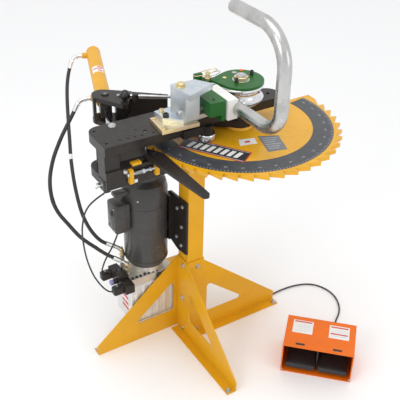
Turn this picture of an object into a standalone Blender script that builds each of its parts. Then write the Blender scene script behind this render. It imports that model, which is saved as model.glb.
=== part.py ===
"""Hydraulic rotary-draw tube bender on a four-leg stand, in metres, +Z up.

The origin is on the floor under the column. +X runs along the head frame to the
spindle, -Y is the side that the operator stands on.
"""
import math

import bmesh
import bpy
from mathutils import Matrix, Vector

for old in list(bpy.data.objects):
    bpy.data.objects.remove(old, do_unlink=True)

# ---------------------------------------------------------------- driving sizes
GAP = 0.0003                      # between faces that touch on the real machine
HALF = 0.0381                     # half of the 3 inch square column
COLUMN_WALL = 0.005
COLUMN_TOP = 0.905
BASE_PLUG = 0.006                 # plate that closes the foot of the column
SHEET = 0.005                     # leg sheet
LEG_REACH = 0.440
LEG_RISE = 0.405
LEG_TIP = 0.050
FLANGE = 0.044

SPINDLE = Vector((0.2165, 0.0, 0.0))
LOW_PLATE = (0.913, 0.950)        # underside and top of the lower frame plate
TOP_PLATE = (1.053, 1.090)
PLATE_LEFT = -0.412
PLATE_FRONT = -0.083
PLATE_BACK = 0.085
NECK = 0.050                      # half width of the frame plates at the spindle

WHEEL = (0.972, 0.988)
TOOTH_COUNT = 45
TOOTH_TIP = 0.414
TOOTH_ROOT = 0.388
WHEEL_CUT = 0.073                 # straight edge of the D-shaped wheel
SPINDLE_RADIUS = 0.025
BUSH_RADIUS = 0.034

PIN_CIRCLE = 0.533                # both cylinder pins lie on this circle
TRUNNION_ANGLE = math.radians(146.4)
ROD_PIN_ANGLE = math.radians(173.5)
CYLINDER_AXIS = 1.040
BARREL_RADIUS = 0.032
BARREL_LENGTH = 0.575             # from the trunnion to the rear cap
ROD_RADIUS = 0.0125
NECK_HALF = 0.023                 # half width of the trunnion block

BEND_RADIUS = 0.100
TUBE_RADIUS = 0.0254
TUBE_WALL = 0.003
TUBE_AXIS = 1.140
DIE = (1.107, 1.173)
DIE_FLANGE = 0.0915
TUBE_X = SPINDLE.x - BEND_RADIUS

MOTOR_X, MOTOR_Y, MOTOR_RADIUS = -0.150, 0.125, 0.093
MOTOR = (0.375, 0.700)
TANK_LOW, TANK_HIGH = (-0.262, 0.052, 0.090), (-0.055, 0.198, 0.297)

PEDAL_TURN = math.radians(-44.5)  # the foot switch stands askew on the floor
PEDAL_PLACE = Vector((0.366, -0.473, 0.0))
GLAND_X = 0.050
GUARD_WIDTH, GUARD_DEPTH, GUARD_HEIGHT, GUARD_SHEET = 0.297, 0.192, 0.150, 0.003

HOSE_RADIUS = 0.0080
CORD_RADIUS = 0.0035
FAR_HOSE = [(-0.0915, 0.8202, 1.040), (-0.1103, 0.8271, 1.040), (-0.1380, 0.823, 1.030),
            (-0.167, 0.800, 0.995), (-0.196, 0.762, 0.952),
            (-0.223, 0.711, 0.905), (-0.258, 0.631, 0.839), (-0.289, 0.555, 0.781), (-0.321, 0.476, 0.724),
            (-0.351, 0.378, 0.655), (-0.368, 0.286, 0.589), (-0.360, 0.230, 0.535), (-0.334, 0.193, 0.490),
            (-0.300, 0.174, 0.466), (-0.265, 0.164, 0.443),
            (-0.2490, 0.160, 0.4240), (-0.2490, 0.160, 0.4120)]
NEAR_HOSE = [(-0.2440, 0.4021, 1.040), (-0.2630, 0.4090, 1.040), (-0.292, 0.412, 1.029),
             (-0.329, 0.397, 0.990), (-0.369, 0.379, 0.949),
             (-0.408, 0.358, 0.909), (-0.457, 0.324, 0.851), (-0.491, 0.289, 0.786), (-0.503, 0.253, 0.722),
             (-0.492, 0.230, 0.665), (-0.464, 0.205, 0.612), (-0.426, 0.173, 0.550), (-0.374, 0.147, 0.494),
             (-0.331, 0.131, 0.451), (-0.272, 0.113, 0.404),
             (-0.2500, 0.110, 0.3800), (-0.2500, 0.110, 0.3660)]
PEDAL_CORD = [(0.4805, -0.4279, 0.0300), (0.4945, -0.4140, 0.0285), (0.528, -0.384, 0.013),
              (0.565, -0.352, 0.0045),
              (0.605, -0.319, 0.0045), (0.648, -0.288, 0.0045), (0.683, -0.247, 0.0045),
              (0.707, -0.190, 0.0045),
              (0.708, -0.131, 0.0045), (0.685, -0.077, 0.0045), (0.645, -0.042, 0.0045),
              (0.585, -0.022, 0.0045),
              (0.522, -0.016, 0.0045), (0.446, -0.018, 0.0045), (0.360, -0.012, 0.0045), (0.270, 0.006, 0.0045),
              (0.180, 0.016, 0.0050), (0.120, 0.010, 0.0110), (0.082, 0.004, 0.0200), (0.060, 0.000, 0.0450),
              (0.055, 0.000, 0.0900), (0.053, 0.000, 0.200), (0.0540, 0.000, 0.400), (0.0550, 0.000, 0.600),
              (0.0550, 0.000, 0.800), (0.0550, 0.000, 0.8837)]


# ---------------------------------------------------------------- materials
def paint(name, colour, metallic=0.0, roughness=0.45):
    material = bpy.data.materials.new(name)
    material.use_nodes = True
    shader = material.node_tree.nodes["Principled BSDF"]
    shader.inputs["Base Color"].default_value = (*colour, 1.0)
    shader.inputs["Metallic"].default_value = metallic
    shader.inputs["Roughness"].default_value = roughness
    material.diffuse_color = (*colour, 1.0)
    return material


YELLOW = paint("yellow_enamel", (0.80, 0.42, 0.02), 0.0, 0.35)
BLACK = paint("black_enamel", (0.035, 0.033, 0.033), 0.0, 0.45)
MOTOR_GREY = paint("motor_grey", (0.10, 0.10, 0.105), 0.0, 0.5)
GREEN = paint("green_enamel", (0.03, 0.22, 0.04), 0.0, 0.4)
ZINC = paint("bright_zinc", (0.62, 0.66, 0.68), 0.8, 0.4)
GOLD_ZINC = paint("yellow_zinc", (0.72, 0.64, 0.36), 0.8, 0.4)
CHROME = paint("hard_chrome", (0.75, 0.75, 0.77), 1.0, 0.08)
STEEL = paint("bare_steel", (0.55, 0.56, 0.57), 1.0, 0.35)
TUBE_STEEL = paint("tube_steel", (0.66, 0.66, 0.67), 0.9, 0.35)
ALUMINIUM = paint("cast_aluminium", (0.74, 0.72, 0.68), 0.7, 0.45)
BRONZE = paint("bearing_bronze", (0.55, 0.35, 0.15), 1.0, 0.4)
WHITE = paint("white_block", (0.82, 0.82, 0.80), 0.0, 0.5)
RUBBER = paint("black_rubber", (0.02, 0.02, 0.02), 0.0, 0.7)
ORANGE = paint("orange_enamel", (0.85, 0.20, 0.03), 0.0, 0.4)


# ---------------------------------------------------------------- moving bodies
def on_pin_circle(angle, height):
    return SPINDLE + Vector((math.cos(angle), math.sin(angle), 0)) * PIN_CIRCLE + Vector((0, 0, height))


TRUNNION = on_pin_circle(TRUNNION_ANGLE, CYLINDER_AXIS)
ROD_PIN = on_pin_circle(ROD_PIN_ANGLE, CYLINDER_AXIS)
STROKE_WAY = (TRUNNION - ROD_PIN).normalized()
PAWL_PIVOT = SPINDLE + Matrix.Rotation(TRUNNION_ANGLE, 3, "Z") @ Vector((0.405, 0.015, 1.1220))
HOLD_PIVOT = Vector((-0.226, -0.035, 0.996))
RELIEF_CENTRE = Vector((-0.130, TANK_LOW[1], 0.319))
TOGGLE_CENTRE = Vector((PLATE_LEFT - 0.0005, -0.048, 0.925))

PIVOTS = {
    "die_wheel": Vector((SPINDLE.x, 0.0, WHEEL[1])),
    "drive_arm": Vector((SPINDLE.x, 0.0, 1.015)),
    "rod": ROD_PIN,
    "barrel": TRUNNION,
    "drive_pawl": PAWL_PIVOT,
    "hold_pawl": HOLD_PIVOT,
    "vise_jaw": Vector((0.030, -0.062, TUBE_AXIS)),
    "tube": Vector((TUBE_X, 0.040, TUBE_AXIS)),
    "relief": RELIEF_CENTRE,
    "toggle": TOGGLE_CENTRE,
    "rotor": Vector((MOTOR_X, MOTOR_Y, MOTOR[0])),
}


def pedal_world(x, y, z):
    """A point of the foot switch: x along its width, y into its depth."""
    return PEDAL_PLACE + Matrix.Rotation(PEDAL_TURN, 3, "Z") @ Vector((x, y, z))


PEDAL_PIVOTS = {"left": (-0.068, 0.085, 0.030), "right": (0.068, 0.085, 0.030)}
for side, place in PEDAL_PIVOTS.items():
    PIVOTS["pedal_" + side] = pedal_world(*place)

EMPTIES = {}
for body, pivot in PIVOTS.items():
    empty = bpy.data.objects.new("pivot_" + body, None)
    empty.location = pivot
    bpy.context.scene.collection.objects.link(empty)
    EMPTIES[body] = empty


# ---------------------------------------------------------------- shape helpers
def arc(centre, radius, start, end, steps):
    """Points of an arc in a plane, angles in degrees."""
    turns = [math.radians(start + (end - start) * i / steps) for i in range(steps + 1)]
    return [(centre[0] + radius * math.cos(t), centre[1] + radius * math.sin(t)) for t in turns]


def block(low, high):
    bm = bmesh.new()
    bmesh.ops.create_cube(bm, size=1.0)
    low, high = Vector(low), Vector(high)
    for vert in bm.verts:
        vert.co = Vector([low[i] + (vert.co[i] + 0.5) * (high[i] - low[i]) for i in range(3)])
    return bm


def prism(outline, low, high, frame=None):
    """An outline extruded from low to high, along Z unless frame turns it."""
    bm = bmesh.new()
    face = bm.faces.new([bm.verts.new((x, y, low)) for x, y in outline])
    grown = bmesh.ops.extrude_face_region(bm, geom=[face])
    top = [item for item in grown["geom"] if isinstance(item, bmesh.types.BMVert)]
    bmesh.ops.translate(bm, verts=top, vec=(0, 0, high - low))
    if frame is not None:
        bmesh.ops.transform(bm, matrix=frame, verts=bm.verts)
    return bm


def along(point, way):
    """A frame at a point whose Z looks along way."""
    return Matrix.Translation(point) @ Vector(way).to_track_quat("Z", "Y").to_matrix().to_4x4()


def turned(profile, base, way=(0, 0, 1), sides=32, hollow=False):
    """A profile of (radius, height) pairs turned about way; a hollow one closes on itself."""
    bm = bmesh.new()
    rings = []
    for radius, height in profile:
        points = arc((0, 0), radius, 0, 360, sides)[:-1]
        rings.append([bm.verts.new((x, y, height)) for x, y in points])
    pairs = list(zip(rings, rings[1:]))
    if hollow:
        pairs.append((rings[-1], rings[0]))
    else:
        bm.faces.new(rings[0])
        bm.faces.new(rings[-1])
    for lower, upper in pairs:
        for i in range(sides):
            j = (i + 1) % sides
            bm.faces.new((lower[i], lower[j], upper[j], upper[i]))
    bmesh.ops.transform(bm, matrix=along(Vector(base), way), verts=bm.verts)
    return bm


def rod(base, way, radius, length, sides=24):
    return turned([(radius, 0.0), (radius, length)], base, way, sides)


def ring(base, outer, inner, height, way=(0, 0, 1), sides=32):
    profile = [(outer, 0), (outer, height), (inner, height), (inner, 0)]
    return turned(profile, base, way, sides, hollow=True)


def smooth_route(points, step):
    """Points a step apart on a Catmull-Rom curve through the given points."""
    knots = [Vector(p) for p in points]
    knots = [knots[0] * 2 - knots[1]] + knots + [knots[-1] * 2 - knots[-2]]
    fine = []
    for a, b, c, d in zip(knots, knots[1:], knots[2:], knots[3:]):
        for i in range(24):
            t = i / 24
            fine.append(0.5 * (2 * b + (c - a) * t + (2 * a - 5 * b + 4 * c - d) * t ** 2
                               + (3 * b - a - 3 * c + d) * t ** 3))
    fine.append(knots[-2])
    lengths = [0.0]
    for a, b in zip(fine, fine[1:]):
        lengths.append(lengths[-1] + (b - a).length)
    count = max(2, round(lengths[-1] / step))
    route, index = [], 0
    for i in range(count + 1):
        reach = lengths[-1] * i / count
        while index < len(fine) - 2 and lengths[index + 1] < reach:
            index += 1
        part = (reach - lengths[index]) / max(lengths[index + 1] - lengths[index], 1e-9)
        route.append(fine[index].lerp(fine[index + 1], part))
    return route


def swept_ring(route, side, outer, inner, sides):
    """A hollow tube whose centre line stays in one plane with normal side."""
    bm = bmesh.new()
    rows = []
    for i, point in enumerate(route):
        ahead = (route[min(i + 1, len(route) - 1)] - route[max(i - 1, 0)]).normalized()
        up = ahead.cross(side)
        row = []
        for radius in (outer, inner):
            circle = arc((0, 0), radius, 0, 360, sides)[:-1]
            row.append([bm.verts.new(point + side * x + up * y) for x, y in circle])
        rows.append(row)
    for first, second in zip(rows, rows[1:]):
        for skin in (0, 1):
            for i in range(sides):
                j = (i + 1) % sides
                bm.faces.new((first[skin][i], first[skin][j], second[skin][j], second[skin][i]))
    for row in (rows[0], rows[-1]):
        for i in range(sides):
            j = (i + 1) % sides
            bm.faces.new((row[0][i], row[0][j], row[1][j], row[1][i]))
    return bm


def mesh_object(name, bm):
    bmesh.ops.recalc_face_normals(bm, faces=bm.faces)
    mesh = bpy.data.meshes.new(name)
    bm.to_mesh(mesh)
    bm.free()
    thing = bpy.data.objects.new(name, mesh)
    bpy.context.scene.collection.objects.link(thing)
    return thing


def shape(thing, mode, tools):
    """Boolean helpers on a node; they stay hidden and share its parent."""
    for tool in tools:
        helper = mesh_object("%s_%s_%d" % (thing.name, mode.lower(), len(thing.modifiers)), tool)
        helper.hide_render = True
        helper.display_type = "WIRE"
        if thing.parent:
            helper.data.transform(Matrix.Translation(-thing.parent.location))
            helper.parent = thing.parent
        modifier = thing.modifiers.new(mode.title(), "BOOLEAN")
        modifier.operation = mode
        modifier.object = helper


def part(name, bm, material, body="root", cuts=(), joins=(), bevel=0.0):
    """One named solid with its material, its origin on its body's joint."""
    thing = mesh_object(name, bm)
    thing.data.materials.append(material)
    if body != "root":
        thing.data.transform(Matrix.Translation(-PIVOTS[body]))
        thing.parent = EMPTIES[body]
    shape(thing, "UNION", joins)
    shape(thing, "DIFFERENCE", cuts)
    if bevel:
        soft = thing.modifiers.new("Edges", "BEVEL")
        soft.width = bevel
        soft.segments = 1
        soft.limit_method = "ANGLE"
        soft.angle_limit = math.radians(50)
    return thing


def flexible(name, route, radius, material, sides=4):
    """A round cord or hose along a route, as a bevelled curve with filled caps."""
    curve = bpy.data.curves.new(name, "CURVE")
    curve.dimensions = "3D"
    curve.bevel_depth = radius
    curve.bevel_resolution = sides - 2
    curve.use_fill_caps = True
    spline = curve.splines.new("POLY")
    spline.points.add(len(route) - 1)
    for knot, point in zip(spline.points, route):
        knot.co = (*point, 1.0)
    thing = bpy.data.objects.new(name, curve)
    bpy.context.scene.collection.objects.link(thing)
    thing.data.materials.append(material)
    return thing


# ---------------------------------------------------------------- stand
def make_column():
    tube = block((-HALF, -HALF, 0.0), (HALF, HALF, COLUMN_TOP))
    inside = HALF - COLUMN_WALL
    bore = block((-inside, -inside, BASE_PLUG), (inside, inside, COLUMN_TOP + 0.02))
    drain = hole(0.020, 0.020, 0.006, -0.01, BASE_PLUG + 0.01, 12)
    head = block((-0.085, -0.070, COLUMN_TOP - 0.002), (0.070, 0.070, LOW_PLATE[0] - GAP))
    gland = turned([(0.006, 0.8840), (0.009, 0.8900), (0.009, COLUMN_TOP)], (0.055, 0, 0), sides=16)
    part("column", tube, YELLOW, joins=[head, gland], cuts=[bore, drain])


def make_legs():
    """Four identical folded sheet legs, each bolted to its own face of the column."""
    start = -HALF + GAP
    web = [(start, 0.0), (LEG_REACH, 0.0), (LEG_REACH, LEG_TIP), (0.030, LEG_RISE), (start, LEG_RISE)]
    window = arc((0.078, 0.112), 0.018, 180, 270, 3) + arc((0.232, 0.106), 0.012, -90, 42, 4)
    window += arc((0.074, 0.237), 0.014, 42, 180, 4)
    for name, turn in (("leg_right", 0), ("leg_front", -90), ("leg_left", 180), ("leg_back", 90)):
        upright = Matrix.Rotation(math.radians(90), 4, "X")
        place = Matrix.Rotation(math.radians(turn), 4, "Z") @ Matrix.Translation((0, -HALF - GAP, 0))
        sheet = prism(web, 0.0, SHEET, place @ upright)
        opening = prism(window, -0.01, 0.02, place @ upright)
        foot = block((-0.026, -HALF - GAP - FLANGE, 0.0), (LEG_REACH, -HALF - GAP - SHEET / 2, SHEET))
        bmesh.ops.transform(foot, matrix=Matrix.Rotation(math.radians(turn), 4, "Z"), verts=foot.verts)
        part(name, sheet, YELLOW, joins=[foot], cuts=[opening])


# ---------------------------------------------------------------- head frame
def plate_outline(right_end):
    """Frame plate: a round ear at the back left, a narrow neck with a round end."""
    outline = [(PLATE_LEFT, PLATE_FRONT), (-0.105, PLATE_FRONT), (-0.085, -NECK)]
    outline += arc((right_end - NECK, 0), NECK, -90, 90, 12)
    outline += [(0.020, NECK), (-0.050, PLATE_BACK)]
    outline += arc((PLATE_LEFT + 0.045, PLATE_BACK - 0.045), 0.045, 90, 180, 8)
    return outline


def hole(x, y, radius, low, high, sides=16):
    return rod((x, y, low), (0, 0, 1), radius, high - low, sides)


def make_frame():
    low, high = TOP_PLATE
    cuts = [hole(SPINDLE.x, 0, BUSH_RADIUS + GAP, low - 0.01, high + 0.01, 32),
            hole(ROD_PIN.x, ROD_PIN.y, 0.0103, low - 0.01, high + 0.01),
            hole(HOLD_PIVOT.x, HOLD_PIVOT.y, 0.0083, low - 0.01, high + 0.01),
            hole(0.352, 0.0, 0.008, low - 0.01, high + 0.01)]
    for x, y in ((-0.390, -0.052), (-0.336, -0.052), (-0.306, -0.055), (-0.278, -0.055),
                 (-0.252, -0.060), (-0.252, -0.010), (-0.205, -0.062), (-0.390, 0.052)):
        cuts.append(hole(x, y, 0.006, low - 0.01, high + 0.01, 10))
    rail = block((-0.3480, -0.0700, 1.012), (-0.2450, -0.0500, low + 0.002))
    bracket = block((-0.075, -0.058, 1.0220), (0.030, -0.030, low + 0.002))
    part("frame_top_plate", prism(plate_outline(0.400), low, high), BLACK, joins=[rail, bracket], cuts=cuts)

    low, high = LOW_PLATE
    cuts = [hole(SPINDLE.x, 0, SPINDLE_RADIUS + GAP, low - 0.01, high + 0.01, 32),
            block((PLATE_LEFT - 0.01, PLATE_FRONT - 0.01, low - 0.01), (-0.1985, -0.0727, high + 0.01)),
            block((PLATE_LEFT - 0.01, -0.080, low - 0.01), (-0.3900, -0.0180, high + 0.01))]
    lower = part("frame_bottom_plate", prism(plate_outline(0.300), low, high), BLACK)
    post_top = TOP_PLATE[0] - GAP
    end = block((PLATE_LEFT, -0.0760, high - 0.002), (-0.352, -0.018, post_top))
    ear = rod((-0.372, 0.045, high - 0.002), (0, 0, 1), 0.016, post_top - high + 0.002, 20)
    apron = block((PLATE_LEFT, PLATE_FRONT, 0.912), (-0.2000, -0.0700, 0.987))
    shape(lower, "DIFFERENCE", cuts)
    shape(lower, "UNION", [end, ear, apron])
    low, high = TOP_PLATE
    part("spindle_bush", ring((SPINDLE.x, 0, low), BUSH_RADIUS, SPINDLE_RADIUS + GAP, high - low), BRONZE)
    shoulder = CYLINDER_AXIS - 0.0123
    anchor = [(0.018, LOW_PLATE[1] + GAP), (0.018, shoulder), (0.010, shoulder),
              (0.010, TOP_PLATE[1] + GAP), (0.016, TOP_PLATE[1] + GAP), (0.014, TOP_PLATE[1] + 0.005)]
    part("rod_anchor_pin", turned(anchor, (ROD_PIN.x, ROD_PIN.y, 0), sides=24), STEEL)
    roller = [(0.018, 0.9905), (0.024, 0.9940), (0.024, 1.0110), (0.020, 1.0150), (0.008, 1.0150),
              (0.008, 1.0527)]
    part("wheel_support_roller", turned(roller, (0.044, -0.040, 0), sides=24), STEEL)


# ---------------------------------------------------------------- wheel, spindle and die
def wheel_outline():
    """Saw teeth round the rim, with a straight cut behind the hub."""
    pitch = 360 / TOOTH_COUNT
    reach = math.degrees(math.asin(WHEEL_CUT / TOOTH_TIP))
    outline = []
    for k in range(TOOTH_COUNT):
        heel = 180 - reach + 2 + k * pitch
        toe = heel + pitch * 0.97
        if toe > 360 + reach - 1:
            break
        for angle, radius in ((heel, TOOTH_ROOT), (toe, TOOTH_TIP)):
            outline.append((radius * math.cos(math.radians(angle)),
                            radius * math.sin(math.radians(angle))))
    last = outline[-1]
    outline.append((last[0], WHEEL_CUT))
    outline.append((outline[0][0], WHEEL_CUT))
    return [(x + SPINDLE.x, y) for x, y in outline]


def make_wheel():
    body = "die_wheel"
    bore = hole(SPINDLE.x, 0, SPINDLE_RADIUS + GAP, 0.96, 1.01, 32)
    hub = turned([(0.060, 0.0), (0.056, 0.010)], (SPINDLE.x, 0, WHEEL[1] - 0.001), sides=32)
    part("degree_wheel", prism(wheel_outline(), *WHEEL), YELLOW, body, joins=[hub], cuts=[bore])
    seat = DIE[0] - GAP
    shaft = [(0.022, 0.890), (SPINDLE_RADIUS, 0.893), (SPINDLE_RADIUS, 1.0915), (0.072, 1.0915),
             (0.075, 1.0940), (0.075, seat - 0.003), (0.072, seat), (0.019, seat), (0.019, 1.2000),
             (0.017, 1.2020)]
    part("spindle", turned(shaft, (SPINDLE.x, 0, 0), sides=32), STEEL, body)
    groove_radius = TUBE_RADIUS + GAP
    meet = math.degrees(math.acos((BEND_RADIUS - DIE_FLANGE) / groove_radius))
    groove = [(BEND_RADIUS + r, TUBE_AXIS + z) for r, z in
              arc((0, 0), groove_radius, 180 - meet, 180 + meet, 12)]
    profile = [(0.0193, DIE[0]), (0.0193, DIE[1]), (DIE_FLANGE - 0.002, DIE[1]), (DIE_FLANGE, DIE[1] - 0.002)]
    profile += groove + [(DIE_FLANGE, DIE[0] + 0.002), (DIE_FLANGE - 0.002, DIE[0])]
    part("bend_die", turned(profile, (SPINDLE.x, 0, 0), sides=48, hollow=True), CHROME, body)

    tip = Vector((-0.1030, 0.0560))
    angle = math.degrees(math.atan2(tip.y, tip.x))
    spread = math.degrees(math.acos(0.0905 / tip.length))
    tear = arc((0, 0), 0.0905, angle + spread, angle - spread + 360, 36)
    tear += arc(tip * 0.93, 0.010, angle - 60, angle + 60, 4)
    tear = [(x + SPINDLE.x, y) for x, y in tear]
    plate = prism(tear, DIE[1] + GAP, DIE[1] + 0.0103)
    part("die_top_plate", plate, GREEN, body, cuts=[hole(SPINDLE.x, 0, 0.0193, 1.16, 1.20, 24)])
    nut = turned([(0.030, 0.0), (0.030, 0.010), (0.026, 0.012)], (SPINDLE.x, 0, DIE[1] + 0.0106), sides=6)
    part("spindle_nut", nut, STEEL, body, cuts=[hole(SPINDLE.x, 0, 0.0193, 1.16, 1.21, 24)])

    outer = [(0.062, 1.105), (0.140, 1.105), (0.140, 1.114), (0.071, 1.114), (0.071, 1.1635),
             (0.140, 1.1635), (0.140, 1.1725), (0.062, 1.1725)]
    stand_up = Matrix.Translation((0, 0.100, 0)) @ Matrix.Rotation(math.radians(90), 4, "X")
    strap = prism(outer, -0.005, 0.040, stand_up)
    part("hook_strap", strap, GREEN, body, cuts=[hole(0.121, 0.079, 0.0063, 1.10, 1.18)])
    bolt = turned([(0.0060, 1.108), (0.0060, 1.1730), (0.0115, 1.1730), (0.0115, 1.1835), (0.0060, 1.1835),
                   (0.0060, 1.1930)], (0.121, 0.079, 0), sides=12)
    part("hook_bolt", bolt, GOLD_ZINC, body)


# ---------------------------------------------------------------- drive arm and cylinder
def arm_point(radial, sideways, z=0.0):
    """World point of the drive arm: radial along the trunnion, sideways counterclockwise."""
    turn = Matrix.Rotation(TRUNNION_ANGLE, 3, "Z")
    return SPINDLE + turn @ Vector((radial, sideways, z))


def arm_outline(points):
    return [tuple(arm_point(x, y)[:2]) for x, y in points]


def make_drive_arm():
    body = "drive_arm"
    link = arm_outline(arc((0, 0), 0.060, 68, 292, 20) + [(0.440, -0.040), (0.440, 0.050)])
    beam = arm_outline([(0.285, -0.020), (0.430, -0.034), (0.430, 0.030), (0.285, 0.022)])
    beam_block = prism(beam, 1.025, 1.098)
    bore = hole(SPINDLE.x, 0, SPINDLE_RADIUS + 0.001, 0.98, 1.05, 32)
    part("drive_arm_link", prism(link, 1.000, 1.030), BLACK, body, joins=[beam_block], cuts=[bore])

    chord = math.degrees(math.atan2(STROKE_WAY.y, STROKE_WAY.x) - TRUNNION_ANGLE)
    turn = Matrix.Rotation(TRUNNION_ANGLE, 4, "Z")
    yoke_frame = Matrix.Translation(SPINDLE) @ turn @ Matrix.Translation((PIN_CIRCLE, 0, 0))
    wall_frame = yoke_frame @ Matrix.Rotation(math.radians(chord), 4, "Z")
    fork = [(-0.1020, -0.0345), (0.015, -0.042)] + arc((0.012, 0), 0.042, -80, 80, 8)
    fork += [(-0.080, 0.090), (-0.1020, 0.082)]
    top = prism(fork, 1.0825, 1.100, yoke_frame)
    low = prism(fork, 0.9820, 0.9995, yoke_frame)
    outer_wall = block((-0.030, 0.038, 0.990), (0.030, 0.050, 1.090))
    inner_wall = block((-0.034, -0.100, 0.990), (0.030, -0.038, 1.090))
    for wall in (outer_wall, inner_wall):
        bmesh.ops.transform(wall, matrix=wall_frame, verts=wall.verts)
    trim = block((0.300, -0.2, 0.97), (0.4303, 0.2, 1.11))
    bmesh.ops.transform(trim, matrix=Matrix.Translation(SPINDLE) @ turn, verts=trim.verts)
    pin_bore = rod((TRUNNION.x, TRUNNION.y, 1.070), (0, 0, 1), 0.0103, 0.05, 20)
    stub = rod((TRUNNION.x, TRUNNION.y, 0.985), (0, 0, 1), 0.010, 0.0325, 20)
    link_room = block((0.4200, -0.0405, 0.9998), (0.4404, 0.0505, 1.0303))
    bmesh.ops.transform(link_room, matrix=Matrix.Translation(SPINDLE) @ turn, verts=link_room.verts)
    part("drive_arm_yoke", top, BLACK, body, joins=[inner_wall, outer_wall, low, stub],
         cuts=[trim, pin_bore, link_room])
    part("trunnion_pin", turned([(0.010, 1.0625), (0.010, 1.1003), (0.016, 1.1003), (0.014, 1.1045)],
                                (TRUNNION.x, TRUNNION.y, 0), sides=20), STEEL, body)


def make_cylinder():
    """Barrel hollow from its neck to its rear cap, with the rod and piston inside."""
    way = STROKE_WAY
    bore = BARREL_RADIUS - 0.005
    rear = BARREL_LENGTH - 0.014
    skin = [(BARREL_RADIUS, 0.056), (BARREL_RADIUS, rear), (bore, rear), (bore, 0.080),
            (ROD_RADIUS + GAP, 0.080), (ROD_RADIUS + GAP, 0.056)]
    barrel = turned(skin, TRUNNION, way, 32, hollow=True)
    heading = math.atan2(way.y, way.x)
    frame = Matrix.Translation(TRUNNION) @ Matrix.Rotation(heading, 4, "Z")
    ports = [rod(frame @ Vector((x, 0.020, 0)), frame.to_3x3() @ Vector((0, 1, 0)), 0.013, 0.032, 16)
             for x in (0.095, BARREL_LENGTH - 0.035)]
    drill = [rod(frame @ Vector((x, 0.034, 0)), frame.to_3x3() @ Vector((0, 1, 0)), 0.007, 0.030, 12)
             for x in (0.095, BARREL_LENGTH - 0.035)]
    clear = [turned([(bore, 0.080), (bore, rear)], TRUNNION, way, 32)]
    part("cylinder_barrel", barrel, YELLOW, "barrel", joins=ports, cuts=clear + drill)

    neck = block((-0.030, -NECK_HALF, -0.032), (0.0557, NECK_HALF, 0.032))
    bmesh.ops.transform(neck, matrix=frame, verts=neck.verts)
    pockets = [rod((TRUNNION.x, TRUNNION.y, z), (0, 0, 1), 0.0155, 0.02, 20) for z in (1.0600, 1.0000)]
    tunnel = [rod(TRUNNION - way * 0.05, way, ROD_RADIUS + GAP, 0.12, 24)]
    part("cylinder_trunnion_block", neck, BLACK, "barrel", cuts=pockets + tunnel)
    cap = [(bore - GAP, BARREL_LENGTH - 0.034), (bore - GAP, rear + GAP), (BARREL_RADIUS, rear + GAP),
           (BARREL_RADIUS, BARREL_LENGTH - 0.005), (BARREL_RADIUS - 0.006, BARREL_LENGTH + 0.001)]
    part("cylinder_rear_cap", turned(cap, TRUNNION, way, 32), YELLOW, "barrel")

    reach = (TRUNNION - ROD_PIN).length + BARREL_LENGTH - 0.085
    shaft = turned([(ROD_RADIUS, 0.018), (ROD_RADIUS, reach)], ROD_PIN, way, 24)
    eye = rod(ROD_PIN - Vector((0, 0, 0.012)), (0, 0, 1), 0.025, 0.024, 24)
    eye_bore = rod(ROD_PIN - Vector((0, 0, 0.03)), (0, 0, 1), 0.0103, 0.06, 20)
    piston = rod(ROD_PIN + way * (reach - 0.040), way, bore - GAP, 0.030, 32)
    part("piston_rod", shaft, CHROME, "rod", joins=[eye, piston], cuts=[eye_bore])


# ---------------------------------------------------------------- pawls and stops
def make_pawls():
    way = (arm_point(1, 0) - SPINDLE).normalized()
    pivot = PAWL_PIVOT
    lever = rod(pivot + way * 0.035, -way, 0.0055, 0.200, 16)
    boss = rod((pivot.x, pivot.y, 1.1005), (0, 0, 1), 0.013, 0.0300, 20)
    ball = turned([(0.006, -0.018), (0.014, -0.013), (0.0185, -0.004), (0.0185, 0.004), (0.014, 0.013),
                   (0.006, 0.018)], pivot + way * 0.040, way, 24)
    part("drive_pawl_lever", lever, BLACK, "drive_pawl", joins=[boss, ball])

    hub = [(HOLD_PIVOT.x + x, HOLD_PIVOT.y + y) for x, y in arc((0, 0), 0.022, 20, 215, 12)]
    lever = hub + arc((-0.1855, -0.390), 0.015, 183, 357, 8) + [(-0.1725, -0.075)]
    hand = prism(lever, 0.9905, 1.0025)
    dog = block((-0.214, -0.110, 0.9815), (-0.1905, -0.0835, 0.9960))
    part("hold_pawl_lever", hand, BLACK, "hold_pawl", joins=[dog],
         cuts=[hole(HOLD_PIVOT.x, HOLD_PIVOT.y, 0.0083, 0.97, 1.02)])
    pin = [(0.014, LOW_PLATE[1] + GAP), (0.014, 0.9900), (0.008, 0.9900), (0.008, TOP_PLATE[1] - 0.004)]
    part("hold_pawl_pin", turned(pin, (HOLD_PIVOT.x, HOLD_PIVOT.y, 0), sides=20), STEEL)

    for name, x, low in (("stop_post_left", -0.318, 0.925), ("stop_post_right", -0.211, 0.932)):
        post = block((x - 0.008, PLATE_FRONT - 0.0183, low), (x + 0.008, PLATE_FRONT - GAP, 0.981))
        eye = rod((x - 0.02, PLATE_FRONT - 0.010, 0.962), (1, 0, 0), 0.0053, 0.04, 16)
        part(name, post, YELLOW, cuts=[eye])
    stop = turned([(0.008, 0.0), (0.008, 0.006), (0.005, 0.006), (0.005, 0.062), (0.0095, 0.062),
                   (0.0095, 0.071), (0.005, 0.071), (0.005, 0.160)],
                  (-0.334, PLATE_FRONT - 0.010, 0.962), (1, 0, 0), 16)
    part("stop_rod", stop, ZINC)


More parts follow.
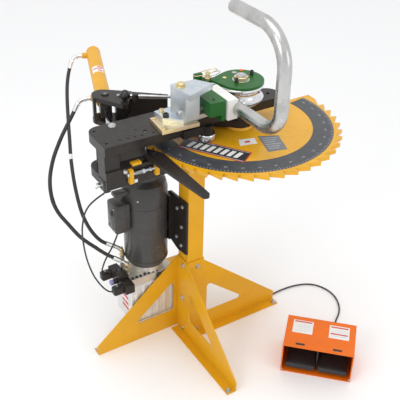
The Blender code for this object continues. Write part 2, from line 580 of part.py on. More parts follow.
# ---------------------------------------------------------------- vise and follow block
def make_vise():
    adapter = [(-0.188, -0.096), (-0.034, -0.104), (-0.030, 0.020), (-0.176, 0.020)]
    part("vise_adapter_plate", prism(adapter, TOP_PLATE[1] + GAP, 1.1050), GOLD_ZINC)
    base = [(-0.152, 0.030), (-0.150, -0.030), (-0.112, -0.068), (-0.092, -0.086), (0.020, -0.076),
            (0.026, -0.004), (0.010, 0.034)]
    foot = prism(base, 1.1053, 1.1230)
    tower = prism([(-0.1020, -0.0060), (-0.0920, -0.1000), (-0.0300, -0.0950), (-0.0300, -0.0110)],
                  1.120, 1.236)
    roof = prism([(-0.1020, -0.0060), (-0.0890, -0.1240), (0.0380, -0.0760), (-0.0020, -0.0140)],
                 1.214, 1.236)
    screw_way = rod((-0.14, -0.062, TUBE_AXIS), (1, 0, 0), 0.0113, 0.13, 20)
    part("vise_bracket", foot, ZINC, joins=[tower, roof], cuts=[screw_way])
    carrier = [(0.0003, -0.120), (0.060, -0.128), (0.0697, -0.118), (0.0697, 0.002), (0.056, 0.008),
               (0.0003, -0.004)]
    part("follow_block_carrier", prism(carrier, 1.1003, 1.1797), GREEN, "vise_jaw",
         cuts=[rod((-0.01, -0.062, TUBE_AXIS), (1, 0, 0), 0.0113, 0.030, 20),
               block((-0.01, -0.14, 1.09), (0.0470, 0.02, 1.1233))])
    follow = block((0.0700, -0.135, 1.1000), (TUBE_X - 0.004, 0.010, 1.1800))
    groove = rod((TUBE_X, -0.16, TUBE_AXIS), (0, 1, 0), TUBE_RADIUS + GAP, 0.20, 40)
    part("follow_block", follow, WHITE, "vise_jaw", cuts=[groove])
    screw = rod((-0.145, -0.062, TUBE_AXIS), (1, 0, 0), 0.0110, 0.160, 20)
    part("vise_screw", screw, STEEL, "vise_jaw")


def make_sample_tube():
    """Workpiece: forward out of the die, up in a tight bend and back over the head."""
    low_turn, high_turn = 0.100, 0.135
    front, top = -0.2860, 1.5160
    limb = front - low_turn
    path = [(0.045, TUBE_AXIS)] + arc((front, TUBE_AXIS + low_turn), low_turn, -90, -180, 12)
    path += arc((limb + high_turn, top - high_turn), high_turn, 180, 90, 14) + [(-0.075, top)]
    route = [Vector((TUBE_X, y, z)) for y, z in path]
    part("sample_tube", swept_ring(route, Vector((1, 0, 0)), TUBE_RADIUS, TUBE_RADIUS - TUBE_WALL, 28),
         TUBE_STEEL, "tube")


# ---------------------------------------------------------------- power unit
def make_power_unit():
    x, y = MOTOR_X, MOTOR_Y
    low, high = MOTOR
    shell = [(0.062, low), (MOTOR_RADIUS - 0.012, low), (MOTOR_RADIUS, low + 0.022), (MOTOR_RADIUS, high),
             (0.085, high), (0.085, low + 0.012), (0.062, low + 0.012)]
    part("motor_shell", turned(shell, (x, y, 0), sides=40, hollow=True), MOTOR_GREY)
    cover = [(0.085, high + GAP), (MOTOR_RADIUS + 0.002, high + GAP), (MOTOR_RADIUS + 0.002, 0.745),
             (MOTOR_RADIUS - 0.006, 0.775), (0.060, 0.792), (0.058, 0.788), (0.083, 0.770), (0.087, 0.742)]
    lid = turned(cover, (x, y, 0), sides=40, hollow=True)
    part("motor_fan_cover", lid, MOTOR_GREY, joins=[ring((x, y, 0.782), 0.062, 0.010, 0.006)])
    rotor = [(0.010, low + 0.014), (0.010, low + 0.050), (0.070, low + 0.050), (0.070, high - 0.030),
             (0.010, high - 0.030), (0.010, 0.715), (0.030, 0.715), (0.072, 0.722), (0.072, 0.728),
             (0.030, 0.735), (0.010, 0.735), (0.010, 0.778)]
    part("motor_rotor", turned(rotor, (x, y, 0), sides=24), STEEL, "rotor")

    part("pump_adaptor", ring((x, y, 0.3365), 0.070, 0.045, low - GAP - 0.3365, sides=36), ALUMINIUM)
    manifold = block((x - 0.110, TANK_LOW[1], TANK_HIGH[2] + GAP), (x + 0.090, TANK_HIGH[1] - 0.02, 0.3362))
    ports = [rod((*port[:2], 0.330), (0, 0, 1), 0.010, port[2] - GAP - 0.330, 16)
             for port in (FAR_HOSE[-1], NEAR_HOSE[-1])]
    seat = rod(RELIEF_CENTRE + Vector((0, 0.02, 0)), (0, -1, 0), 0.0063, 0.05, 20)
    part("manifold_block", manifold, ALUMINIUM, joins=ports, cuts=[seat])
    shell = block(TANK_LOW, TANK_HIGH)
    wall = 0.006
    room = block([v + wall for v in TANK_LOW], (TANK_HIGH[0] - wall, TANK_HIGH[1] - wall, TANK_HIGH[2] + 0.01))
    part("oil_tank", shell, ALUMINIUM, cuts=[room])
    pump = turned([(0.030, 0.170), (0.038, 0.178), (0.038, 0.270), (0.046, 0.270),
                   (0.046, TANK_HIGH[2])], (x, y, 0), sides=24)
    part("gear_pump", pump, STEEL)

    hanger = [(-HALF - 0.002, 0.710), (0.096, 0.700), (0.112, 0.690), (0.112, 0.462), (0.030, 0.440),
              (-HALF - 0.002, 0.452)]
    stand_up = Matrix(((0, 0, 1, 0), (1, 0, 0, 0), (0, 1, 0, 0), (0, 0, 0, 1)))
    saddle = block((-0.0660, 0.072, 0.470), (-0.0470, 0.104, 0.690))
    part("power_unit_bracket", prism(hanger, -0.0475, -HALF - GAP, stand_up), BLACK, joins=[saddle],
         cuts=[rod((x, y, 0.46), (0, 0, 1), MOTOR_RADIUS + GAP, 0.24, 64)])

    box = block((-0.334, 0.078, 0.588), (-0.2365, 0.165, 0.752))
    part("terminal_box", box, MOTOR_GREY, bevel=0.008,
         cuts=[rod((x, y, 0.55), (0, 0, 1), MOTOR_RADIUS + 0.0025, 0.3, 64),
               block((-0.340, 0.092, 0.650), (-0.318, 0.112, 0.700))])
    valve = block((-0.305, 0.020, 0.2990), (-0.2625, 0.190, 0.3400))
    plugs = [block((-0.3480, y0, 0.3000), (-0.3030, y0 + 0.030, 0.3330)) for y0 in (0.150, 0.035)]
    nut = rod((-0.3030, 0.100, 0.322), (-1, 0, 0), 0.012, 0.022, 20)
    part("solenoid_valve", valve, BLACK, joins=plugs + [nut])
    knob = turned([(0.006, -0.014), (0.006, 0.0), (0.013, 0.0), (0.013, 0.0065), (0.011, 0.0078)],
                  RELIEF_CENTRE - Vector((0, 0.0003, 0)), (0, -1, 0), 20)
    part("relief_knob", knob, BLACK, "relief")


# ---------------------------------------------------------------- switches
def make_switches():
    box = block((PLATE_LEFT, -0.0697, 0.8950), (-0.3903, -0.0200, 0.9477))
    part("switch_box", box, BLACK, bevel=0.002)
    stem = turned([(0.0035, 0.002), (0.0035, 0.012), (0.0055, 0.024), (0.0035, 0.026)],
                  TOGGLE_CENTRE, (-1, 0, 0.35), 16)
    part("power_toggle", stem, STEEL, "toggle")


def make_foot_switch():
    frame = Matrix.Translation(PEDAL_PLACE) @ Matrix.Rotation(PEDAL_TURN, 4, "Z")

    def local(low, high):
        bm = block(low, high)
        bmesh.ops.transform(bm, matrix=frame, verts=bm.verts)
        return bm

    width, depth, height, sheet = GUARD_WIDTH / 2, GUARD_DEPTH / 2, GUARD_HEIGHT, GUARD_SHEET
    guard = local((-width, -depth, 0.0), (width, depth, height))
    mouth = local((-width + sheet, -depth - 0.01, sheet), (width - sheet, depth - sheet, height - sheet))
    gland_hole = rod(frame @ Vector((GLAND_X, depth + 0.01, 0.030)), frame.to_3x3() @ Vector((0, -1, 0)),
                     0.0083, 0.03, 16)
    part("foot_guard", guard, ORANGE, cuts=[mouth, gland_hole])
    for side, (px, py, pz) in PEDAL_PIVOTS.items():
        tread = [(-0.165, 0.030), (-0.165, 0.042), (-0.010, 0.052), (0.0, 0.046), (0.0, 0.034),
                 (-0.010, 0.030)]
        lie = frame @ Matrix.Translation((px - 0.062, py, 0)) @ Matrix(
            ((0, 0, 1, 0), (1, 0, 0, 0), (0, 1, 0, 0), (0, 0, 0, 1)))
        part("pedal_" + side, prism(tread, 0.0, 0.124, lie), BLACK, "pedal_" + side)
    gland = turned([(0.008, 0.0), (0.008, 0.012), (0.011, 0.012), (0.011, 0.020), (0.007, 0.026)],
                   frame @ Vector((GLAND_X, depth - 0.010, 0.030)), frame.to_3x3() @ Vector((0, 1, 0)), 16)
    part("foot_cord_gland", gland, BLACK)


# ---------------------------------------------------------------- hoses and cord
def flexible_runs(points, radius, names, sides, spacing):
    """A hose or cord as two runs that meet on a short straight, with square ends."""
    route = smooth_route(points, spacing)
    for end, near, toward in ((0, 1, Vector(points[1]) - Vector(points[0])),
                              (-1, -2, Vector(points[-2]) - Vector(points[-1]))):
        route[near] = route[end] + toward.normalized() * (route[near] - route[end]).length
    middle = len(route) // 2
    route[middle] = (route[middle - 1] + route[middle + 1]) / 2
    step = (route[middle + 1] - route[middle]).normalized() * GAP
    for name, run in zip(names, (route[:middle] + [route[middle] - step], route[middle:])):
        flexible(name, run, radius, RUBBER, sides)


def make_hoses():
    """Two pressure hoses from the barrel's ports to the manifold, and the foot switch's cord."""
    flexible_runs(FAR_HOSE, HOSE_RADIUS, ("hose_far_upper", "hose_far_lower"), 4, 0.024)
    flexible_runs(NEAR_HOSE, HOSE_RADIUS, ("hose_near_upper", "hose_near_lower"), 4, 0.024)
    flexible_runs(PEDAL_CORD, CORD_RADIUS, ("foot_cord_floor", "foot_cord_riser"), 4, 0.021)


def make_assembly():
    make_column()
    make_legs()
    make_frame()
    make_wheel()
    make_drive_arm()
    make_cylinder()
    make_pawls()
    make_vise()
    make_sample_tube()
    make_power_unit()
    make_switches()
    make_foot_switch()
    make_hoses()


make_assembly()
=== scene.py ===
"""Looks of a hydraulic tube bender: materials, fasteners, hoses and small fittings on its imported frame."""

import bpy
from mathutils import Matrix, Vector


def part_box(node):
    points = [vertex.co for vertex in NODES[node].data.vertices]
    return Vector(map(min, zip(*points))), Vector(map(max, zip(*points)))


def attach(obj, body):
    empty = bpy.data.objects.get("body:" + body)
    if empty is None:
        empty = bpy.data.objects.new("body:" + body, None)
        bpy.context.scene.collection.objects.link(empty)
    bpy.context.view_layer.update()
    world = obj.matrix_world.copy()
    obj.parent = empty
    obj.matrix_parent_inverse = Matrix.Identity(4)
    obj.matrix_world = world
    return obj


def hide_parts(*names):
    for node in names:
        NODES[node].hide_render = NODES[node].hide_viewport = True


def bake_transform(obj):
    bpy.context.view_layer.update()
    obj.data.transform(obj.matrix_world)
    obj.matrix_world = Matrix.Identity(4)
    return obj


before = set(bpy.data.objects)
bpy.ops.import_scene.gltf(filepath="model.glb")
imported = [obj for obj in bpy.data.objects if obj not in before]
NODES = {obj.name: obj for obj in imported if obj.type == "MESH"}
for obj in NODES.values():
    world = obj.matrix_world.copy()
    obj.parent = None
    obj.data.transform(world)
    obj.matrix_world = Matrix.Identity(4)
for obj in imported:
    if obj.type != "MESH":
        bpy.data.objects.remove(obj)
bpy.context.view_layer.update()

import math

import bmesh
import bpy
from mathutils import Matrix, Vector

UP = Vector((0, 0, 1))
SPINDLE = Vector((0.2165, 0.0, 0.0))          # the die and the wheel turn about this line
DIE_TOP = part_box("die_top_plate")[1][2]
WHEEL_DISC = 0.016                             # thickness of the wheel, without its hub
WHEEL_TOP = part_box("degree_wheel")[0][2] + WHEEL_DISC
PLATE_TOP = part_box("frame_top_plate")[1][2]
PLATE_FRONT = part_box("frame_top_plate")[0][1]
LEG_FACE = 0.0434                              # outer face of each leg's sheet from the column's centre
MOTOR = Vector((-0.150, 0.125, 0.0))
MOTOR_RADIUS = (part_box("motor_shell")[1][0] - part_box("motor_shell")[0][0]) / 2
TANK_LOW, TANK_HIGH = (Vector(corner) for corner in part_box("oil_tank"))
TUBE_X = (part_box("sample_tube")[0][0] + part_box("sample_tube")[1][0]) / 2
TUBE_RADIUS = 0.0254
TUBE_WALL = 0.0030
PIN_CIRCLE = 0.533
ARM_ANGLE = 146.4                              # degrees from +X to the drive arm's trunnion
ROD_PIN_ANGLE = 173.5


def outward(degrees):
    """The level direction at an angle from +X."""
    return Vector((math.cos(math.radians(degrees)), math.sin(math.radians(degrees)), 0))


TRUNNION = SPINDLE + outward(ARM_ANGLE) * PIN_CIRCLE
TRUNNION.z = 1.040
ROD_PIN = SPINDLE + outward(ROD_PIN_ANGLE) * PIN_CIRCLE
ROD_PIN.z = TRUNNION.z
STROKE = (TRUNNION - ROD_PIN).normalized()
STROKE_LEFT = UP.cross(STROKE)
PEDAL_TURN = math.radians(-44.5)
PEDAL_PLACE = Vector((0.366, -0.473, 0.0))
HOSE_RADIUS = 0.0080
CORD_RADIUS = 0.0035
CABLE_RADIUS = 0.0034
SLEEVED = 9                                    # route points under the metal end of each hose
LABEL = 0.0005                                 # thickness of a printed label
BARREL_SKIN = 0.0322                           # radius of the label round the cylinder
SCALE_START = 172                              # degrees from +X to the start of the wheel's scale
NUMBER_CIRCLE = 0.347
BOX_LOW = Vector((-0.3080, 0.0800, 0.5700))    # corners of the motor's cable box
BOX_HIGH = Vector((-0.2370, 0.1640, 0.7080))
ROLLER = Vector((0.036, -0.044, 0.9908))
PAWL_BALL = Vector((-0.1825, 0.2077, 1.1220))
HOOK_STUD = Vector((0.113, 0.079, 0.0))


# ---------------------------------------------------------------- camera, light and floor
CAMERA_PLACE = (-1.37546, -2.22583, 2.42381)
CAMERA_ANGLES = (-0.566793, 0.584399, 0.0233188)    # turn, lift and roll in radians
CAMERA_LENS = 68.82


def add_camera():
    turn, lift, roll = CAMERA_ANGLES
    back = Vector((math.sin(turn) * math.cos(lift), -math.cos(turn) * math.cos(lift), math.sin(lift)))
    right = Vector((math.cos(turn), math.sin(turn), 0))
    top = back.cross(right)
    side = right * math.cos(roll) + top * math.sin(roll)
    head = top * math.cos(roll) - right * math.sin(roll)
    camera = bpy.data.objects.new("camera", bpy.data.cameras.new("camera"))
    camera.data.lens = CAMERA_LENS
    camera.data.sensor_width = 36.0
    camera.matrix_world = Matrix.Translation(CAMERA_PLACE) @ Matrix(
        (side, head, back)).transposed().to_4x4()
    bpy.context.scene.collection.objects.link(camera)
    bpy.context.scene.camera = camera


def add_light(name, place, aim, size, power, colour=(1, 1, 1)):
    lamp = bpy.data.lights.new(name, "AREA")
    lamp.shape = "RECTANGLE"
    lamp.size, lamp.size_y = size
    lamp.energy = power
    lamp.color = colour
    holder = bpy.data.objects.new(name, lamp)
    holder.location = place
    holder.rotation_euler = (Vector(aim) - Vector(place)).to_track_quat("-Z", "Y").to_euler()
    bpy.context.scene.collection.objects.link(holder)


def add_studio():
    world = bpy.data.worlds.new("studio")
    bpy.context.scene.world = world
    world.use_nodes = True
    world.node_tree.nodes["Background"].inputs["Color"].default_value = (0.985, 0.99, 1.0, 1)
    world.node_tree.nodes["Background"].inputs["Strength"].default_value = 0.97
    add_light("overhead", (-0.6, -0.2, 3.9), (0, 0, 0.8), (2.4, 1.6), 26)
    add_light("key", (-3.2, -1.2, 3.0), (0, 0, 0.8), (1.4, 1.6), 30)
    add_light("fill", (1.8, -3.6, 2.2), (0, 0, 0.8), (1.8, 1.6), 14)
    bpy.context.scene.view_settings.view_transform = "Standard"


# ---------------------------------------------------------------- shader maths
class Wire:
    """A number socket: arithmetic on it adds Math nodes to its finish."""

    def __init__(self, finish, socket):
        self.finish = finish
        self.socket = socket

    def maths(self, operation, *values):
        node = self.finish.add("ShaderNodeMath", {"operation": operation}, dict(enumerate(values)))
        return Wire(self.finish, node.outputs[0])

    def __add__(self, other):
        return self.maths("ADD", self, other)

    def __radd__(self, other):
        return self.maths("ADD", other, self)

    def __sub__(self, other):
        return self.maths("SUBTRACT", self, other)

    def __rsub__(self, other):
        return self.maths("SUBTRACT", other, self)

    def __mul__(self, other):
        return self.maths("MULTIPLY", self, other)

    def __rmul__(self, other):
        return self.maths("MULTIPLY", other, self)

    def __truediv__(self, other):
        return self.maths("DIVIDE", self, other)

    def above(self, limit):
        return self.maths("GREATER_THAN", self, limit)

    def below(self, limit):
        return self.maths("LESS_THAN", self, limit)

    def power(self, exponent):
        return self.maths("POWER", self, exponent)


class Finish:
    """A Principled material built up from named nodes; edge is its rounding radius in metres."""

    def __init__(self, name, colour, roughness, metallic=0.0, edge=0.0012, **fixed):
        self.material = bpy.data.materials.new(name)
        self.material.use_nodes = True
        self.tree = self.material.node_tree
        self.shader = self.tree.nodes["Principled BSDF"]
        self.set(Base_Color=(*colour, 1.0), Roughness=roughness, Metallic=metallic, **fixed)
        self.place = self.add("ShaderNodeTexCoord").outputs["Object"]
        self.edge_normal = None
        if edge:
            self.edge_normal = self.add("ShaderNodeBevel", {"samples": 6}, {"Radius": edge}).outputs[0]
            self.set(Normal=self.edge_normal)

    def feed(self, socket, value):
        if isinstance(value, Wire):
            value = value.socket
        if isinstance(value, bpy.types.NodeSocket):
            self.tree.links.new(value, socket)
        elif hasattr(value, "__len__") and len(value) == 3 and socket.type == "RGBA":
            socket.default_value = (*value, 1.0)
        else:
            socket.default_value = value

    def add(self, kind, settings=None, inputs=None):
        node = self.tree.nodes.new(kind)
        for key, value in (settings or {}).items():
            if key == "stops":
                ramp = node.color_ramp
                while len(ramp.elements) < len(value):
                    ramp.elements.new(0.5)
                for element, (where, shade) in zip(ramp.elements, value):
                    element.position = where
                    element.color = (*shade, 1.0)
            else:
                setattr(node, key, value)
        for key, value in (inputs or {}).items():
            self.feed(node.inputs[key], value)
        return node

    def set(self, **sockets):
        for key, value in sockets.items():
            self.feed(self.shader.inputs[key.replace("_", " ")], value)

    def stretched(self, scale, turn=(0, 0, 0), centre=(0, 0, 0)):
        return self.add("ShaderNodeMapping", {"vector_type": "TEXTURE"},
                        {"Vector": self.place, "Location": centre, "Rotation": turn,
                         "Scale": scale}).outputs[0]

    def noise(self, scale, detail=3.0, rough=0.55, vector=None):
        node = self.add("ShaderNodeTexNoise", None,
                        {"Vector": vector or self.place, "Scale": scale, "Detail": detail,
                         "Roughness": rough})
        return Wire(self, node.outputs[0])

    def axes(self, vector=None):
        node = self.add("ShaderNodeSeparateXYZ", None, {"Vector": vector or self.place})
        return [Wire(self, out) for out in node.outputs]

    def ramp(self, wire, low, high):
        """0 below low, 1 above high."""
        node = self.add("ShaderNodeMapRange", {"clamp": True},
                        {"Value": wire, "From Min": low, "From Max": high})
        return Wire(self, node.outputs[0])

    def mixed(self, amount, first, second):
        node = self.add("ShaderNodeMix", {"data_type": "RGBA"}, {0: amount, 6: first, 7: second})
        return node.outputs[2]

    def bump(self, height, strength, distance=0.001):
        inputs = {"Height": height, "Strength": strength, "Distance": distance}
        if self.edge_normal is not None:
            inputs["Normal"] = self.edge_normal
        self.set(Normal=self.add("ShaderNodeBump", None, inputs).outputs[0])


def darker(colour, share):
    return tuple(part * share for part in colour)


def enamel(name, colour, roughness, chip=(0.25, 0.24, 0.23), wear=0.0, peel=0.05, edge=0.0015, **fixed):
    """Sprayed enamel: orange peel, faint clouds of dust and a few small chips."""
    paint = Finish(name, colour, roughness, edge=edge, Specular_IOR_Level=0.30, **fixed)
    clouds = paint.noise(7.0, 4.0)
    grain = paint.noise(160.0, 3.0)
    dust = paint.ramp(paint.noise(34.0, 5.0, 0.7), 0.50, 0.78)
    shade = paint.mixed(paint.ramp(clouds, 0.3, 0.7), darker(colour, 0.88), colour)
    shade = paint.mixed(dust * 0.035, shade, (0.55, 0.50, 0.44))
    chips = paint.ramp(paint.noise(95.0, 6.0, 0.75), 0.735 - wear, 0.75 - wear)
    shade = paint.mixed(chips, shade, chip)
    paint.set(Base_Color=shade, Roughness=roughness + clouds * 0.10 + grain * 0.06 - 0.07 + chips * 0.15)
    paint.bump(paint.noise(420.0, 2.0) * 0.6 - chips * 0.8, peel, 0.0012)
    return paint.material


def plated(name, colour, tint, roughness, metallic=0.9):
    """Zinc plate: cloudy passivation with fine handling scratches."""
    metal = Finish(name, colour, roughness, metallic, edge=0.0012)
    clouds = metal.ramp(metal.noise(26.0, 4.0, 0.6), 0.35, 0.68)
    scratches = metal.ramp(metal.noise(60.0, 5.0, 0.8, metal.stretched((1, 9, 1), (0.3, 0.2, 0.9))), 0.5,
                           0.8)
    metal.set(Base_Color=metal.mixed(clouds * 0.8, colour, tint),
              Roughness=roughness + clouds * 0.16 - scratches * 0.10)
    metal.bump(scratches + metal.noise(300.0, 2.0) * 0.4, 0.06, 0.0008)
    return metal.material


def turned_metal(name, colour, roughness, centre=(0, 0, 0), turn=(0, 0, 0), edge=0.0008):
    """Machined steel: fine rings round its own axis and a little oil."""
    metal = Finish(name, colour, roughness, 1.0, edge=edge)
    x, y, z = metal.axes(metal.stretched((1, 1, 1), turn, centre))
    reach = (x * x + y * y).power(0.5)
    rings = metal.noise(1.0, 2.0, 0.5, metal.add("ShaderNodeCombineXYZ", None,
                                                 {0: reach * 900.0, 1: z * 900.0}).outputs[0])
    oil = metal.ramp(metal.noise(40.0, 4.0), 0.42, 0.70)
    metal.set(Base_Color=metal.mixed(oil * 0.5, colour, darker(colour, 0.62)),
              Roughness=roughness + rings * 0.14 - oil * 0.08)
    metal.bump(rings, 0.05, 0.0005)
    return metal.material


def brushed_tube(name):
    """Drawn steel tube: streaks along its length, hand marks and a dull bloom."""
    colour = (0.56, 0.56, 0.55)
    metal = Finish(name, colour, 0.32, 0.97, edge=0)
    along_y = metal.noise(150.0, 4.0, 0.7, metal.stretched((1, 30, 1)))
    along_z = metal.noise(150.0, 4.0, 0.7, metal.stretched((1, 1, 30)))
    streaks = (along_y + along_z) * 0.5
    marks = metal.ramp(metal.noise(16.0, 5.0, 0.65), 0.44, 0.62)
    scuffs = metal.ramp(metal.noise(70.0, 6.0, 0.8), 0.60, 0.74)
    shade = metal.mixed(marks * 0.6, colour, (0.38, 0.38, 0.37))
    shade = metal.mixed(metal.ramp(streaks, 0.48, 0.60) * 0.25, shade, (0.66, 0.66, 0.64))
    metal.set(Base_Color=metal.mixed(scuffs * 0.35, shade, (0.78, 0.78, 0.76)),
              Roughness=0.12 + streaks * 0.24 + marks * 0.10)
    metal.bump(streaks, 0.06, 0.0006)
    return metal.material


def cast_aluminium(name):
    colour = (0.66, 0.63, 0.57)
    metal = Finish(name, colour, 0.45, 0.75, edge=0.0018)
    skin = metal.noise(240.0, 5.0, 0.7)
    stains = metal.ramp(metal.noise(18.0, 5.0), 0.45, 0.72)
    metal.set(Base_Color=metal.mixed(stains * 0.55, colour, (0.42, 0.39, 0.34)),
              Roughness=0.38 + skin * 0.22)
    metal.bump(skin, 0.18, 0.0010)
    return metal.material


def moulded(name, colour, roughness, grain=0.08, edge=0.0012):
    """Moulded plastic or rubber: fine texture with a greyish bloom."""
    plastic = Finish(name, colour, roughness, edge=edge)
    bloom = plastic.ramp(plastic.noise(22.0, 5.0, 0.65), 0.45, 0.75)
    texture = plastic.noise(520.0, 3.0)
    lighter = tuple(min(1.0, part * 1.6 + 0.02) for part in colour)
    plastic.set(Base_Color=plastic.mixed(bloom * 0.35, colour, lighter),
                Roughness=roughness + texture * 0.14 - bloom * 0.06)
    plastic.bump(texture, grain, 0.0008)
    return plastic.material


def steel_oil(name):
    """Hard chrome: a mirror skin with grease in patches."""
    chrome = Finish(name, (0.74, 0.75, 0.77), 0.09, 1.0, edge=0.0010)
    grease = chrome.ramp(chrome.noise(30.0, 5.0), 0.50, 0.72)
    chrome.set(Base_Color=chrome.mixed(grease * 0.4, (0.74, 0.75, 0.77), (0.50, 0.49, 0.46)),
               Roughness=0.07 + grease * 0.22)
    return chrome.material


def degree_scale():
    """Black ring of the wheel, with a pale mark every 2 degrees and a longer one every 10."""
    ink = Finish("degree_scale", (0.05, 0.052, 0.058), 0.38, edge=0)
    x, y, _ = ink.axes(ink.stretched((1, 1, 1), centre=SPINDLE[:]))
    reach = (x * x + y * y).power(0.5)
    angle = y.maths("ARCTAN2", y, x) * (180 / math.pi) + 360
    mask = None
    for every, wide, inner in ((2, 0.10, 0.369), (10, 0.07, 0.362)):
        near = ((angle / every).maths("FRACT", angle / every) - 0.5).maths(
            "ABSOLUTE", (angle / every).maths("FRACT", angle / every) - 0.5)
        marks = near.above(0.5 - wide / every * 1.6) * reach.above(inner) * reach.below(0.377)
        mask = marks if mask is None else mask.maths("MAXIMUM", mask, marks)
    rub = ink.ramp(ink.noise(34.0, 5.0, 0.7), 0.45, 0.75)
    base = ink.mixed(rub * 0.5, (0.045, 0.048, 0.054), (0.12, 0.125, 0.135))
    ink.set(Base_Color=ink.mixed(mask * 0.7, base, (0.55, 0.56, 0.57)), Roughness=0.32 + rub * 0.18)
    return ink.material


def hose_rubber():
    """Two-braid hose cover, with a slight wrap texture and a dusty top."""
    rubber = Finish("hose_rubber", (0.018, 0.018, 0.020), 0.5, edge=0)
    wrap = rubber.noise(700.0, 3.0)
    dust = rubber.ramp(rubber.noise(30.0, 5.0), 0.45, 0.75)
    rubber.set(Base_Color=rubber.mixed(dust * 0.4, (0.016, 0.016, 0.018), (0.06, 0.06, 0.062)),
               Roughness=0.36 + wrap * 0.22 + dust * 0.12)
    rubber.bump(wrap, 0.15, 0.0006)
    return rubber.material


def printed(name, colour):
    """A printed vinyl label: even ink with light scuffs."""
    label = Finish(name, colour, 0.34, edge=0)
    scuff = label.ramp(label.noise(90.0, 6.0, 0.8), 0.60, 0.80)
    label.set(Base_Color=label.mixed(scuff * 0.25, colour, (0.5, 0.5, 0.5)),
              Roughness=0.30 + scuff * 0.25)
    return label.material


YELLOW = enamel("yellow_enamel", (0.76, 0.385, 0.010), 0.34, wear=0.03)
WHEEL_YELLOW = enamel("wheel_enamel", (0.78, 0.395, 0.010), 0.27, wear=0.02, Coat_Weight=0.25)
BLACK = enamel("black_enamel", (0.024, 0.019, 0.016), 0.30, chip=(0.20, 0.15, 0.11), wear=0.05, peel=0.09)
GREEN = enamel("green_enamel", (0.012, 0.12, 0.016), 0.33, wear=0.03)
ORANGE = enamel("orange_enamel", (0.84, 0.165, 0.006), 0.33, wear=0.0, edge=0.0028)
MOTOR_GREY = enamel("motor_enamel", (0.058, 0.056, 0.054), 0.25, wear=0.02, peel=0.08)
ZINC = plated("bright_zinc", (0.66, 0.70, 0.73), (0.50, 0.58, 0.64), 0.30)
GOLD = plated("yellow_zinc", (0.78, 0.66, 0.34), (0.74, 0.56, 0.44), 0.28)
STEEL = turned_metal("turned_steel", (0.58, 0.58, 0.58), 0.28)
BOLT = plated("bolt_plate", (0.60, 0.60, 0.60), (0.46, 0.47, 0.48), 0.30)
DARK_BOLT = moulded("black_oxide", (0.020, 0.020, 0.022), 0.30, 0.05, 0.0006)
CHROME = steel_oil("hard_chrome")
HOSE_METAL = plated("hose_end_plate", (0.82, 0.82, 0.80), (0.62, 0.62, 0.60), 0.22)
TANK = plated("tank_metal", (0.80, 0.82, 0.82), (0.62, 0.65, 0.65), 0.34, 0.55)
TUBE_STEEL = brushed_tube("drawn_tube")
ALUMINIUM = cast_aluminium("cast_aluminium")
BRONZE = turned_metal("bearing_bronze", (0.55, 0.36, 0.16), 0.34, centre=SPINDLE[:])
BLOCK_WHITE = moulded("white_block", (0.78, 0.78, 0.74), 0.40)
RUBBER = hose_rubber()
PLASTIC = moulded("black_plastic", (0.018, 0.018, 0.019), 0.36)
KNOB = moulded("knob_plastic", (0.012, 0.012, 0.013), 0.18, 0.02)
SCALE = degree_scale()
WHITE_PRINT = printed("white_print", (0.78, 0.78, 0.76))
BLACK_PRINT = printed("black_print", (0.020, 0.020, 0.022))
GREY_PRINT = printed("grey_print", (0.16, 0.165, 0.18))
SILVER_PRINT = printed("silver_print", (0.46, 0.47, 0.49))
CREAM_PRINT = printed("cream_print", (0.86, 0.70, 0.24))
RED_PRINT = printed("red_print", (0.62, 0.03, 0.03))


# ---------------------------------------------------------------- modelling helpers
def deselect():
    if bpy.context.object and bpy.context.object.mode != "OBJECT":
        bpy.ops.object.mode_set(mode="OBJECT")
    bpy.ops.object.select_all(action="DESELECT")


def begin(name):
    """Names the primitive that was just added and opens it in edit mode, with nothing selected."""
    piece = bpy.context.object
    piece.name = name
    piece.data.name = name
    bpy.ops.object.mode_set(mode="EDIT")
    bpy.ops.mesh.select_all(action="DESELECT")
    return piece


def choose(piece, wanted, kind="FACE"):
    """Selects the faces, edges or corners that a test accepts."""
    bpy.context.tool_settings.mesh_select_mode = (kind == "VERT", kind == "EDGE", kind == "FACE")
    mesh = bmesh.from_edit_mesh(piece.data)
    parts = {"FACE": mesh.faces, "EDGE": mesh.edges, "VERT": mesh.verts}[kind]
    for part in [*mesh.verts, *mesh.edges, *mesh.faces]:
        part.select = False
    for part in parts:
        if wanted(part):
            part.select_set(True)
    bmesh.update_edit_mesh(piece.data)


def close(piece, finish, smooth=35):
    """Leaves edit mode, puts the piece's place into its mesh and gives it its finish."""
    if piece.mode == "EDIT":
        bpy.ops.mesh.select_all(action="SELECT")
        bpy.ops.mesh.normals_make_consistent(inside=False)
        bpy.ops.object.mode_set(mode="OBJECT")
    deselect()
    piece.select_set(True)
    bpy.context.view_layer.objects.active = piece
    bpy.ops.object.transform_apply(location=True, rotation=True, scale=True)
    if smooth:
        bpy.ops.object.shade_smooth_by_angle(angle=math.radians(smooth))
    piece.data.materials.clear()
    piece.data.materials.append(finish)
    return piece


def facing(point, way):
    """A frame at a point with its Z along way."""
    return Matrix.Translation(point) @ Vector(way).to_track_quat("Z", "Y").to_matrix().to_4x4()


def set_down(piece, place):
    """Puts the piece that is being edited at its place."""
    bpy.ops.object.mode_set(mode="OBJECT")
    piece.matrix_world = place
    bpy.ops.object.mode_set(mode="EDIT")


